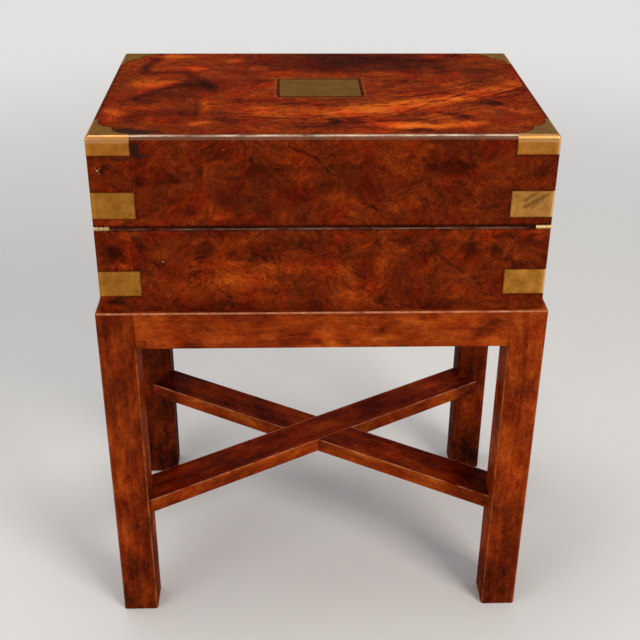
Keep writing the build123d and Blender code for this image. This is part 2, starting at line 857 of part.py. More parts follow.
def knuckle_bed():
    """The room around the knuckles of both hinges."""
    return cross_pins(hinge_pin_ends(knuckle_gap), knuckle_radius + knuckle_clearance, hinge_y, seam_z)


def flap_pin_bed(half):
    """The holes in the side boards that a flap's pins turn in."""
    _, axis_y, axis_z = flap_pivot(half)
    ends = flap_pin_ends(0, flap_pin_depth + seat_gap)
    return cross_pins(ends, flap_pin_radius + flap_pin_clearance, axis_y, axis_z)


def plate_beds():
    """The name plate and the line of stringing around it, let into the top of the lid."""
    size = (plate_length, plate_width)
    plate = upright_block((0, plate_shift), size, box_top - name_plate_thickness, box_top)
    with BuildPart() as string:
        with BuildSketch(Plane.XY.offset(box_top - string_depth)):
            inner = (plate_length + 2 * string_margin, plate_width + 2 * string_margin)
            with Locations((0, plate_shift)):
                Rectangle(inner[0] + 2 * string_width, inner[1] + 2 * string_width)
                Rectangle(*inner, mode=Mode.SUBTRACT)
        extrude(amount=string_depth)
    return plate, string.part


def make_base(outside, core):
    """Build and save every piece that belongs to the base of the box."""
    low_straps = {
        (x, y): strap_bed(x, y, low_strap_level, core) for x in LEFT_TO_RIGHT for y in FRONT_TO_BACK
    }
    high_straps = {x: strap_bed(x, 1, high_strap_level, core) for x in LEFT_TO_RIGHT}
    for side in LEFT_TO_RIGHT:
        pair = [low_straps[side, 1], high_straps[side]]
        make_fitting([low_straps[side, -1]], outside, f"base_strap_front_{side_names[side]}")
        make_fitting(pair, outside, f"base_straps_back_{side_names[side]}")
    leaf_screws = countersunk_screws(BASE, leaf_screw_points, leaf_gap)
    leaves = hinge_leaves(BASE, base_knuckles, pin_radius, leaf_screws)
    save(leaves, "hinge_base_leaves")
    save(slotted(leaf_screws, BASE, leaf_screw_points, leaf_gap), "hinge_base_screws")
    with BuildPart() as pins:
        add(cross_pins(hinge_pin_ends(0), pin_radius, hinge_y, seam_z))
    save(pins, "hinge_pins")
    envelope = lock_envelope()
    lock_screws = countersunk_screws(BASE, lock_screw_points, rim)
    make_lock(envelope, lock_screws)
    make_escutcheon(outside)
    ink_floor = make_ink_floor()
    make_dividers()
    make_ledges(BASE, box_room(BASE, divider_front), divider_front, "base_flap_ledges", False)
    beds = [*low_straps.values(), *high_straps.values(), leaves.part, leaf_screws, knuckle_bed(), envelope]
    beds += [lock_screws, escutcheon_bed(), keyhole(0, bolt_y, half_depth), ink_floor, flap_pin_bed(BASE)]
    make_boards(box_shell(BASE, outside), beds, "base")
    with BuildPart() as bottom:
        size = (2 * (inner_half_width + board_rebate), 2 * (inner_half_depth + board_rebate))
        add(upright_block((0, 0), size, box_bottom, box_bottom + bottom_board))
    save(bottom, "base_bottom_board")


def make_lid(outside, core):
    """Build and save every piece that belongs to the lid."""
    brackets = {(x, y): bracket_bed(x, y, core) for x in LEFT_TO_RIGHT for y in FRONT_TO_BACK}
    straps = {x: strap_bed(x, -1, high_strap_level, core) for x in LEFT_TO_RIGHT}
    for (side_x, side_y), bed in brackets.items():
        make_fitting([bed], outside, f"lid_bracket_{end_names[side_y]}_{side_names[side_x]}")
    for side, bed in straps.items():
        make_fitting([bed], outside, f"lid_strap_front_{side_names[side]}")
    leaf_screws = countersunk_screws(LID, leaf_screw_points, leaf_gap)
    leaves = hinge_leaves(LID, lid_knuckles, pin_radius + pin_clearance, leaf_screws)
    save(leaves, "hinge_lid_leaves")
    save(slotted(leaf_screws, LID, leaf_screw_points, leaf_gap), "hinge_lid_screws")
    link_screws = countersunk_screws(LID, link_screw_points, rim)
    make_link_plate(link_screws)
    make_ledges(LID, box_room(LID, inner_half_depth), inner_half_depth, "lid_flap_ledges", True)
    beds = [*brackets.values(), *straps.values(), leaves.part, leaf_screws, knuckle_bed()]
    beds += [link_plate_bed(), link_screws, flap_pin_bed(LID)]
    make_boards(box_shell(LID, outside), beds, "lid")
    plate, string = plate_beds()
    with BuildPart() as top:
        size = (2 * (inner_half_width + board_rebate), 2 * (inner_half_depth + board_rebate))
        add(upright_block((0, 0), size, box_top - top_board, box_top))
        for bed in [*brackets.values(), plate, string]:
            add(bed, mode=Mode.SUBTRACT)
    save(top, "lid_top_board")
    with BuildPart() as name_plate:
        add(plate)
    save(name_plate, "name_plate")
    with BuildPart() as stringing:
        add(string)
    save(stringing, "plate_stringing")


os.makedirs("parts", exist_ok=True)
make_stand()
box_outside = closed_box(0)
box_core = closed_box(plate_thickness)
make_base(box_outside, box_core)
make_lid(box_outside, box_core)
make_flap(BASE, "upper_flap", tab_overhang)
make_flap(LID, "lower_flap", -flap_clearance)
make_pen_tray()
for side in LEFT_TO_RIGHT:
    make_inkwell(side)
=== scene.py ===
"""Finishes, small detail, light and camera for a brass-bound writing slope on its stand."""

import json
import logging
import math
from collections.abc import Callable
from dataclasses import dataclass, replace
from enum import Enum

import bmesh
import bpy
from mathutils import Matrix, Vector


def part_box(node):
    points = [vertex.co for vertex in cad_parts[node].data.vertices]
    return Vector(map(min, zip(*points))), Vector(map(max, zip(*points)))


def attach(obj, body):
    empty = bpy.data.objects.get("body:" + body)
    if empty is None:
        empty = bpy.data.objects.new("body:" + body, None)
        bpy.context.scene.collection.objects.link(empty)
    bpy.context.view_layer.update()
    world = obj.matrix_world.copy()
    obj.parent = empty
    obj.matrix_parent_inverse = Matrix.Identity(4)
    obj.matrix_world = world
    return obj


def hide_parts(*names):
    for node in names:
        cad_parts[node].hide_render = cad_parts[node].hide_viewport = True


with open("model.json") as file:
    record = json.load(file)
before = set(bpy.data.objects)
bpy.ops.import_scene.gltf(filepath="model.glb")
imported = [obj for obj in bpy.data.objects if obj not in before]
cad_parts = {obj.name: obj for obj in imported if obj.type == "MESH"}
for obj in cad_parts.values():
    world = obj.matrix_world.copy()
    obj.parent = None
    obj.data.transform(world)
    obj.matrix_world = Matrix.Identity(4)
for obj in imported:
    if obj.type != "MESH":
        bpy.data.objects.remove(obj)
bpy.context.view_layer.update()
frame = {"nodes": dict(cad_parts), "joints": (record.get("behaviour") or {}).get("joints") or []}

log = logging.getLogger("writing_slope")

MM = 0.001
Number = float | int
Triple = tuple[float, float, float]
Paint = tuple[float, float, float, float]
Size = Number | Triple


def paint(red: int, green: int, blue: int) -> Paint:
    """Turn a colour as it looks on a screen, 0 to 255 each, into the shader's linear colour.

    Args:
        red: Red.
        green: Green.
        blue: Blue.

    Returns:
        The linear colour with full opacity.
    """
    shares = [value / 255 for value in (red, green, blue)]
    linear = [s / 12.92 if s <= 0.04045 else ((s + 0.055) / 1.055) ** 2.4 for s in shares]
    return (linear[0], linear[1], linear[2], 1.0)


class Grain(Enum):
    """The way the fibres of a piece run."""

    ALONG = (1.0, 0.0, 0.0)
    ACROSS = (0.0, 1.0, 0.0)
    UPRIGHT = (0.0, 0.0, 1.0)


# Trees of nodes, and shader maths


@dataclass
class Wire:
    """A socket of a material's node tree, which further nodes go into."""

    tree: "ShaderTree"
    socket: bpy.types.NodeSocket


class Value(Wire):
    """A number that changes over the surface, on which sums can be written."""

    def _maths(self, operation: str, *values: "Value | Number") -> "Value":
        """Add one Math node on these values."""
        return self.tree.node("Math", dict(enumerate(values)), operation=operation)

    def __add__(self, other: "Value | Number") -> "Value":
        """Self plus other."""
        return self._maths("ADD", self, other)

    __radd__ = __add__

    def __sub__(self, other: "Value | Number") -> "Value":
        """Self less other."""
        return self._maths("SUBTRACT", self, other)

    def __rsub__(self, other: Number) -> "Value":
        """Other less self."""
        return self._maths("SUBTRACT", other, self)

    def __mul__(self, other: "Value | Number") -> "Value":
        """Self times other."""
        return self._maths("MULTIPLY", self, other)

    __rmul__ = __mul__

    def __pow__(self, power: Number) -> "Value":
        """Self to a power."""
        return self._maths("POWER", self, power)

    def __abs__(self) -> "Value":
        """Self without its sign."""
        return self._maths("ABSOLUTE", self)

    def least(self, other: "Value | Number") -> "Value":
        """The smaller of self and other."""
        return self._maths("MINIMUM", self, other)

    def most(self, other: "Value | Number") -> "Value":
        """The larger of self and other."""
        return self._maths("MAXIMUM", self, other)

    def sine(self) -> "Value":
        """The sine of self, in radians."""
        return self._maths("SINE", self)

    def fade(self, start: Number, end: Number) -> "Value":
        """Rise smoothly from 0 where self is start to 1 where it is end, which may be below start."""
        inputs = {"Value": self, "From Min": start, "From Max": end}
        return self.tree.node("MapRange", inputs, interpolation_type="SMOOTHSTEP")


class Arrow(Wire):
    """A place or direction that changes over the surface."""

    def _maths(self, operation: str, other: "Arrow | Triple", output: str = "Vector") -> "Wire":
        """Add one Vector Math node on self and other."""
        return self.tree.node("VectorMath", {0: self, 1: other}, output, operation=operation)

    def __add__(self, other: "Arrow | Triple") -> "Arrow":
        """Self moved by other."""
        return self._maths("ADD", other)

    __radd__ = __add__

    def __sub__(self, other: "Arrow | Triple") -> "Arrow":
        """Self seen from other."""
        return self._maths("SUBTRACT", other)

    def __mul__(self, other: "Arrow | Triple | Number") -> "Arrow":
        """Self scaled, by one number or axis by axis."""
        return self._maths("MULTIPLY", (other, other, other) if isinstance(other, (int, float)) else other)

    __rmul__ = __mul__

    def dot(self, other: Triple) -> Value:
        """How far self reaches along other."""
        return self._maths("DOT_PRODUCT", other, "Value")

    def length(self) -> Value:
        """The length of self."""
        return self._maths("LENGTH", (0.0, 0.0, 0.0), "Value")


class Tint(Wire):
    """A colour that changes over the surface."""

    def _blend(self, kind: str, other: "Tint | Paint", share: "Value | Number") -> "Tint":
        """Add one colour Mix node on self and other."""
        inputs = {"Factor_Float": share, "A_Color": self, "B_Color": other}
        return self.tree.node("Mix", inputs, "Result_Color", data_type="RGBA", blend_type=kind)

    def towards(self, other: "Tint | Paint", share: Value) -> "Tint":
        """Mix self with a share of other."""
        return self._blend("MIX", other, share)

    def __mul__(self, other: "Tint | Paint") -> "Tint":
        """Self shaded by other."""
        return self._blend("MULTIPLY", other, 1.0)


@dataclass
class NodeTree:
    """A tree that is built node by node."""

    tree: bpy.types.NodeTree

    @staticmethod
    def socket(sockets: bpy.types.bpy_prop_collection, key: str | int) -> bpy.types.NodeSocket:
        """Find a socket by number, identifier or name."""
        by_name = (socket for socket in sockets if key in (socket.identifier, socket.name))
        return sockets[key] if isinstance(key, int) else next(by_name)

    def add(self, kind: str, inputs: dict, **settings: object) -> bpy.types.Node:
        """Add one node.

        Args:
            kind: The node's type.
            inputs: Values, wires or sockets, or a list of them that one input joins, by the input's
                name, identifier or number.
            settings: Properties, set before the inputs; "stops" are a ramp's places and colours.

        Returns:
            The node.
        """
        made = self.tree.nodes.new(kind)
        for key, setting in settings.items():
            if key == "stops":
                elements = made.color_ramp.elements
                while len(elements) < len(setting):
                    elements.new(1.0)
                for element, (position, colour) in zip(elements, setting):
                    element.position, element.color = position, colour
            else:
                setattr(made, key, setting)
        for key, given in inputs.items():
            socket = self.socket(made.inputs, key)
            for value in given if isinstance(given, list) else [given]:
                source = getattr(value, "socket", value)
                if isinstance(source, bpy.types.NodeSocket):
                    self.tree.links.new(source, socket)
                else:
                    socket.default_value = value
        return made


class ShaderTree(NodeTree):
    """The node tree of one material, and the places on its piece in millimetres."""

    def __init__(self, name: str, owner: "bpy.types.Material | bpy.types.World | None" = None) -> None:
        """Make an empty material, or empty the nodes of what is given.

        Args:
            name: The material's name.
            owner: A material or world to use in place of a new material.
        """
        self.material = owner or bpy.data.materials.new(name)
        self.material.use_nodes = True
        super().__init__(self.material.node_tree)
        self.tree.nodes.clear()
        self.place = self.node("TexCoord", {}, "Object") * (1 / MM)
        self.x, self.y, self.z = (self.place.dot(way.value) for way in Grain)

    def node(self, kind: str, inputs: dict, output: str | int = 0, **settings: object) -> Wire:
        """Add one shader node, named without its prefix, and take one output in the class that suits it."""
        socket = self.socket(self.add("ShaderNode" + kind, inputs, **settings).outputs, output)
        return {"VALUE": Value, "VECTOR": Arrow, "RGBA": Tint}.get(socket.type, Wire)(self, socket)

    def arrow(self, x: "Value | Number", y: "Value | Number", z: "Value | Number") -> Arrow:
        """A place by its three distances."""
        return self.node("CombineXYZ", {0: x, 1: y, 2: z})

    def ramp(self, value: Value, stops: list[tuple[float, Paint]]) -> Tint:
        """Colour a value by stops from 0 to 1."""
        return self.node("ValToRGB", {"Fac": value}, "Color", stops=stops)

    def between(self, value: Value, low: Paint, high: Paint) -> Tint:
        """Colour a value from low, where it is 0, to high, where it is 1."""
        return self.ramp(value, [(0.0, low), (1.0, high)])

    def _texture(self, kind: str, place: Arrow, size: Size, output: str, **inputs: Number) -> Wire:
        """Add one texture, with its place measured in sizes.

        Args:
            kind: The texture's type, without its prefix.
            place: Where on the piece, in millimetres.
            size: The size of its pattern, or its size along each axis.
            output: The output that is wanted.
            inputs: Further inputs, by name.

        Returns:
            That output.
        """
        sizes = size if isinstance(size, tuple) else (size, size, size)
        scaled = place * (1 / sizes[0], 1 / sizes[1], 1 / sizes[2])
        return self.node("Tex" + kind, {"Vector": scaled, "Scale": 1.0, **inputs}, output)

    def noise(self, place: Arrow, size: Size, detail: float = 2.0, roughness: float = 0.5) -> Value:
        """Cloudy noise, about -0.35 to 0.35, with finer layers by their number and their strength."""
        return self._texture("Noise", place, size, "Fac", Detail=detail, Roughness=roughness) - 0.5

    def swirl(self, place: Arrow, size: Size, reach: float) -> Arrow:
        """A displacement that turns about once in each size and moves a point by reach at most."""
        colour = self._texture("Noise", place, size, "Color", Detail=1.0)
        return (Arrow(self, colour.socket) - (0.5, 0.5, 0.5)) * (2 * reach)

    def cells(self, place: Arrow, size: Size) -> Value:
        """The distance to the nearest of many scattered points, 0 to about 1."""
        return self._texture("Voronoi", place, size, "Distance")

    def bump(self, height: Value) -> Arrow:
        """The surface's normal, with a height in millimetres on it."""
        return self.node("Bump", {"Height": height, "Distance": MM, "Strength": 1.0}, "Normal")

    def surface(self, **inputs: "Wire | Number | Paint") -> Wire:
        """Add the main shader, with its sockets named by words joined with underscores."""
        named = {key.replace("_", " "): value for key, value in inputs.items()}
        return self.node("BsdfPrincipled", named, "BSDF")

    def finished(self, shader: Wire) -> bpy.types.Material:
        """Put a shader on the material."""
        self.add("ShaderNodeOutputMaterial", {"Surface": shader})
        return self.material


# Places on the box that several finishes share


@dataclass(frozen=True)
class BoxLayout:
    """Where the box's faces, seam and brass lie, in millimetres."""

    half_width: float
    half_depth: float
    top: float
    hinge_y: float
    hinge_z: float
    slope: float
    strap_reach: float
    strap_height: float
    low_strap: float
    high_strap: float
    bracket_front: float
    bracket_side: float
    bracket_low: float
    plate_half_length: float
    plate_half_width: float
    plate_middle: float
    scallop_radius: float = 19.0
    bracket_tip: float = 7.0
    bracket_tip_run: float = 5.0
    plate_depth: float = 3.0

    @classmethod
    def from_frame(cls) -> "BoxLayout":
        """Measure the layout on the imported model.

        Returns:
            The layout.
        """
        left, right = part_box("lid_left_board"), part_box("lid_right_board")
        front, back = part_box("base_front_board"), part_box("base_back_board")
        low_strap, high_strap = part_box("base_strap_front_left"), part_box("lid_strap_front_left")
        bracket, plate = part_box("lid_bracket_front_left"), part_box("name_plate")
        hinge = hinge_place("lid_hinge")
        metres = {
            "half_width": (right[1].x - left[0].x) / 2,
            "half_depth": (back[1].y - front[0].y) / 2,
            "top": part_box("lid_top_board")[1].z,
            "hinge_y": hinge[1],
            "hinge_z": hinge[2],
            "strap_reach": low_strap[1].x - low_strap[0].x,
            "strap_height": low_strap[1].z - low_strap[0].z,
            "low_strap": low_strap[0].z,
            "high_strap": high_strap[0].z,
            "bracket_front": bracket[1].x - bracket[0].x,
            "bracket_side": bracket[1].y - bracket[0].y,
            "bracket_low": bracket[0].z,
            "plate_half_length": (plate[1].x - plate[0].x) / 2,
            "plate_half_width": (plate[1].y - plate[0].y) / 2,
            "plate_middle": (plate[1].y + plate[0].y) / 2,
        }
        slope = math.atan2(back[1].z - front[1].z, back[1].y - front[1].y)
        return cls(slope=slope, **{name: length / MM for name, length in metres.items()})

    def in_from_side(self, tree: ShaderTree) -> Value:
        """How far in a point lies from the nearer end of the box."""
        return self.half_width - abs(tree.x)

    def in_from_front(self, tree: ShaderTree) -> Value:
        """How far in a point lies from the nearer long face of the box."""
        return self.half_depth - abs(tree.y)

    def round_corner(self, tree: ShaderTree) -> Value:
        """How far a point of a wall lies round the corner from the nearer upright edge."""
        return self.in_from_side(tree).most(self.in_from_front(tree))

    def off_seam(self, tree: ShaderTree) -> Value:
        """How far a point lies from the middle of the seam, on either side of it."""
        across = (0.0, -math.sin(self.slope), math.cos(self.slope))
        return abs(tree.place.dot(across) - (self.hinge_y * across[1] + self.hinge_z * across[2]))

    def off_straps(self, tree: ShaderTree) -> Value:
        """How far a point of a wall lies outside the nearest strap.

        Args:
            tree: The material's tree.

        Returns:
            The distance, negative on a strap.
        """
        half = self.strap_height / 2
        low, high = (abs(tree.z - (level + half)) - half for level in (self.low_strap, self.high_strap))
        return low.least(high).most(self.round_corner(tree) - self.strap_reach)

    def off_brackets(self, tree: ShaderTree) -> Value:
        """How far a point of the lid lies outside the nearest bracket.

        Args:
            tree: The material's tree.

        Returns:
            The distance, negative on a bracket.
        """
        side, front = self.in_from_side(tree), self.in_from_front(tree)
        waist, shoulder = self.bracket_tip + self.scallop_radius, self.bracket_side - self.bracket_tip_run
        on_walls = (side - self.bracket_front).most(front - self.bracket_side).most(self.bracket_low - tree.z)
        on_lid = (side - self.bracket_front).most(front - waist)
        on_lid = on_lid.least((side - waist).most(front - shoulder))
        on_lid = on_lid.least((side - self.bracket_tip).most(front - self.bracket_side))
        for across, along in ((self.bracket_front, waist), (waist, shoulder)):
            middle = (side - across) * (side - across) + (front - along) * (front - along)
            on_lid = on_lid.most(self.scallop_radius - middle**0.5)
        return on_walls + (on_lid - on_walls) * tree.z.fade(self.top - 1.0, self.top - 0.5)

    def off_brass(self, tree: ShaderTree) -> Value:
        """How far a point lies outside the nearest strap or bracket."""
        return self.off_straps(tree).least(self.off_brackets(tree))

    def off_plate(self, tree: ShaderTree) -> Value:
        """How far a point of the lid's top lies outside the name plate.

        Args:
            tree: The material's tree.

        Returns:
            The distance, negative on the plate.
        """
        along = abs(tree.x) - self.plate_half_length
        across = abs(tree.y - self.plate_middle) - self.plate_half_width
        return along.most(across).most(self.top - self.plate_depth - tree.z)


def hinge_place(joint: str) -> list[float]:
    """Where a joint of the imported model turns, in metres."""
    return next(entry for entry in frame["joints"] if entry["name"] == joint)["pos_m"]


# Wood


def ramp_stops(*stops: tuple[float, int, int, int]) -> list[tuple[float, Paint]]:
    """The stops of a ramp, each given by its place and its colour on a screen."""
    return [(position, paint(*colour)) for position, *colour in stops]


def on_top(x: float, y: float, z: float = 581.0) -> Triple:
    """A point on the lid's top, or a reach along it, in millimetres."""
    return (x, y, z)


def on_front(x: float, z: float, y: float = -150.0) -> Triple:
    """A point on the side with the hinges, or a reach along it, in millimetres."""
    return (x, y, z)


@dataclass(frozen=True)
class Patch:
    """A lighter or darker part of a wood's figure."""

    centre: Triple
    reach: Triple
    strength: float

    DEPTH = 14.0

    @classmethod
    def rows(cls, face: Callable[..., Triple], *rows: tuple[float, ...]) -> "tuple[Patch, ...]":
        """Patches on a face, each by its middle, its reach both ways and its strength."""
        return tuple(cls(face(*row[:2]), face(*row[2:4], cls.DEPTH), row[4]) for row in rows)


@dataclass(frozen=True)
class Vein:
    """A thin dark line in a wood's figure."""

    start: Triple
    end: Triple
    width: float
    strength: float

    @classmethod
    def rows(cls, face: Callable[..., Triple], *rows: tuple) -> "tuple[Vein, ...]":
        """Veins on a face, each by its width, its strength and the points that it joins."""
        pairs = ((row, ends) for row in rows for ends in zip(row[2:], row[3:]))
        return tuple(cls(face(*start), face(*end), *row[:2]) for row, (start, end) in pairs)


def add_patches(tree: ShaderTree, place: Arrow, patches: tuple[Patch, ...]) -> Value | float:
    """Sum the patches of a figure.

    Args:
        tree: The material's tree.
        place: Where on the piece, in millimetres, usually displaced.
        patches: The patches.

    Returns:
        What they add to the figure at each point.
    """
    total: Value | float = 0.0
    for patch in patches:
        reach = (1 / patch.reach[0], 1 / patch.reach[1], 1 / patch.reach[2])
        away = ((place - patch.centre) * reach).length()
        total = away.fade(1.25, 0.15) * patch.strength + total
    return total


def add_veins(tree: ShaderTree, place: Arrow, veins: tuple[Vein, ...]) -> Value | float:
    """Draw the veins of a figure.

    Args:
        tree: The material's tree.
        place: Where on the piece, in millimetres, usually displaced.
        veins: The veins.

    Returns:
        How strongly a vein shows at each point.
    """
    total: Value | float = 0.0
    for vein in veins:
        run = Vector(vein.end) - Vector(vein.start)
        from_start = place - vein.start
        share = from_start.dot(tuple(run / run.length_squared)).most(0.0).least(1.0)
        along = tree.node("VectorMath", {0: tuple(run), "Scale": share}, "Vector", operation="SCALE")
        total = ((from_start - along).length().fade(vein.width * 2.2, 0.0) * vein.strength).most(total)
    return total


def grain_place(place: Arrow, along: Triple) -> tuple[Value, Value, Value]:
    """Measure a place along the fibres, across them, and across them the other way.

    Args:
        place: Where on the piece, in millimetres.
        along: The unit direction of the fibres.

    Returns:
        The three distances.
    """
    fibre = Vector(along)
    second = fibre.cross(Vector(Grain.UPRIGHT.value))
    if second.length < 0.5:
        second = Vector(Grain.ALONG.value)
    second.normalize()
    return tuple(place.dot(tuple(way)) for way in (fibre, second, fibre.cross(second)))


@dataclass(frozen=True)
class Mahogany:
    """Straight-grained red-brown wood under an old polish."""

    name: str
    along: Triple
    start: Triple = (0.0, 0.0, 0.0)
    tone: float = 0.0
    gloss: float = 0.34
    patches: tuple[Patch, ...] = ()
    # Pale rounded edges and top rim: partly wear, partly a painted highlight.
    edges: tuple[tuple[float, float], ...] = ()
    edges_below: float = 0.0
    worn_rim: Triple | None = None
    dark_foot: float = 0.0
    # Painted shade towards the stretchers' ends.
    dark_ends: float = 0.0
    pale_sides: float = 0.0
    edge_wear: float = 2.4
    red: float = 0.2

    STOPS = ramp_stops(
        (0.0, 24, 8, 3), (0.2, 62, 18, 4), (0.4, 100, 32, 6), (0.56, 130, 48, 9), (0.76, 163, 72, 18),
        (1.0, 208, 120, 48),
    )
    # Pale edge colours: wear with a painted highlight.
    RUBBED, RUBBED_TOP = paint(192, 108, 50), paint(206, 140, 100)
    REDDER = (0.92, 0.50, 0.52, 1.0)
    FOOT = 110.0
    ENDS, RIM = (176.0, 214.0), (2.0, 0.8)

    def figure(self, tree: ShaderTree) -> tuple[Value, Value]:
        """Work out the wood's figure.

        Args:
            tree: The material's tree.

        Returns:
            The figure, about 0.5, and the strength of its open pores.
        """
        moved = tree.place + self.start
        fibres = tree.arrow(*grain_place(moved, self.along))
        waved = fibres + tree.swirl(fibres, (180, 45, 45), 8) * (0.0, 1.0, 1.0)
        stripes = tree.noise(waved, (330, 9, 14), 3.0, 0.6)
        streaks = tree.noise(waved, (50, 2.0, 2.6), 3.0, 0.6)
        clouds = tree.noise(waved + (91, 17, 43), (48, 27, 30), 4.0, 0.58)
        blotches = tree.noise(waved + (11, 67, 23), (24, 15, 14), 4.0, 0.62).fade(0.09, 0.26)
        flecks = tree.noise(waved + (5, 9, 71), (7.5, 4.2, 4.2), 3.0, 0.6)
        grit = tree.noise(moved, 1.5, 2.0, 0.6)
        figure = 0.50 + self.tone + stripes * 0.42 + streaks * 0.20 + clouds * 1.05 + flecks * 0.42
        figure = figure + grit * 0.36 - blotches * 0.20
        figure = figure + add_patches(tree, tree.place + tree.swirl(tree.place, 14, 6), self.patches)
        if self.dark_foot:
            figure = figure - tree.z.fade(self.FOOT, 0.0) * self.dark_foot
        # Painted shade towards the ends, by the legs.
        if self.dark_ends:
            figure = figure - abs(tree.place.dot(self.along)).fade(*self.ENDS) * self.dark_ends
        return figure, tree.noise(fibres, (14, 0.55, 0.6), 1.0, 0.5).fade(0.13, 0.26)

    def colour(self, tree: ShaderTree) -> tuple[Tint, Value]:
        """Colour the wood.

        Args:
            tree: The material's tree.

        Returns:
            Its colour and its pores.
        """
        figure, pores = self.figure(tree)
        figure = figure - pores * 0.14
        redness = tree.noise(tree.place + self.start, 34, 2.0) * 2.0 + self.red
        # Painted light: the upright sides are kept paler and less red than the shaded tops.
        if self.pale_sides:
            half_width = self.edges[0][0]
            sides = abs(grain_place(tree.place, self.along)[1]).fade(half_width - 0.7, half_width - 0.2)
            figure = figure + sides * self.pale_sides
            redness = redness - sides * 0.55
        colour = tree.ramp(figure, self.STOPS)
        return colour.towards(colour * self.REDDER, redness.most(0.0).least(1.0)), pores

    def _rubbed(self, tree: ShaderTree, colour: Tint) -> Tint:
        """Pale the edges that run with the fibres, and the stand's top rim: partly wear, partly a painted
        highlight.

        Args:
            tree: The material's tree.
            colour: The wood's colour.

        Returns:
            The colour with its rubbed edges and painted highlights.
        """
        worn = tree.noise(tree.place, 22, 4.0, 0.7) * 2.6
        # Wear and a painted highlight along the edges that run with the fibres.
        if self.edges:
            _, width, depth = grain_place(tree.place, self.along)
            rubbed: Value | float = 0.0
            for across, deep in self.edges:
                away = ((abs(width) - across) ** 2 + (abs(depth) - deep) ** 2) ** 0.5
                rubbed = away.fade(self.edge_wear, self.edge_wear / 3) + rubbed
            rubbed = rubbed * tree.z.fade(self.edges_below + 4, self.edges_below - 12)
            pale = self.RUBBED if self.worn_rim else self.RUBBED_TOP
            colour = colour.towards(pale, rubbed * (worn + 0.34).most(0.0).least(0.75))
        # Wear and a painted highlight along the stand's top rim.
        if self.worn_rim:
            side, front, top = self.worn_rim
            rim = (side - abs(tree.x)).least(front - abs(tree.y)).most(top - tree.z).fade(*self.RIM)
            colour = colour.towards(self.RUBBED_TOP, rim * (worn + 0.55).most(0.08).least(0.9))
        return colour

    def material(self) -> bpy.types.Material:
        """Make the material.

        Returns:
            The material.
        """
        tree = ShaderTree(self.name)
        colour, pores = self.colour(tree)
        handled = tree.noise(tree.place, 30, 3.0)
        shader = tree.surface(
            Base_Color=self._rubbed(tree, colour),
            Roughness=self.gloss + handled * 0.22 + pores * 0.2,
            Normal=tree.bump(pores * -0.05 + tree.noise(tree.place, 6.0, 2.0) * 0.03),
            Specular_IOR_Level=0.0,
            Coat_Weight=0.05,
            Coat_Roughness=0.16,
        )
        return tree.finished(shader)


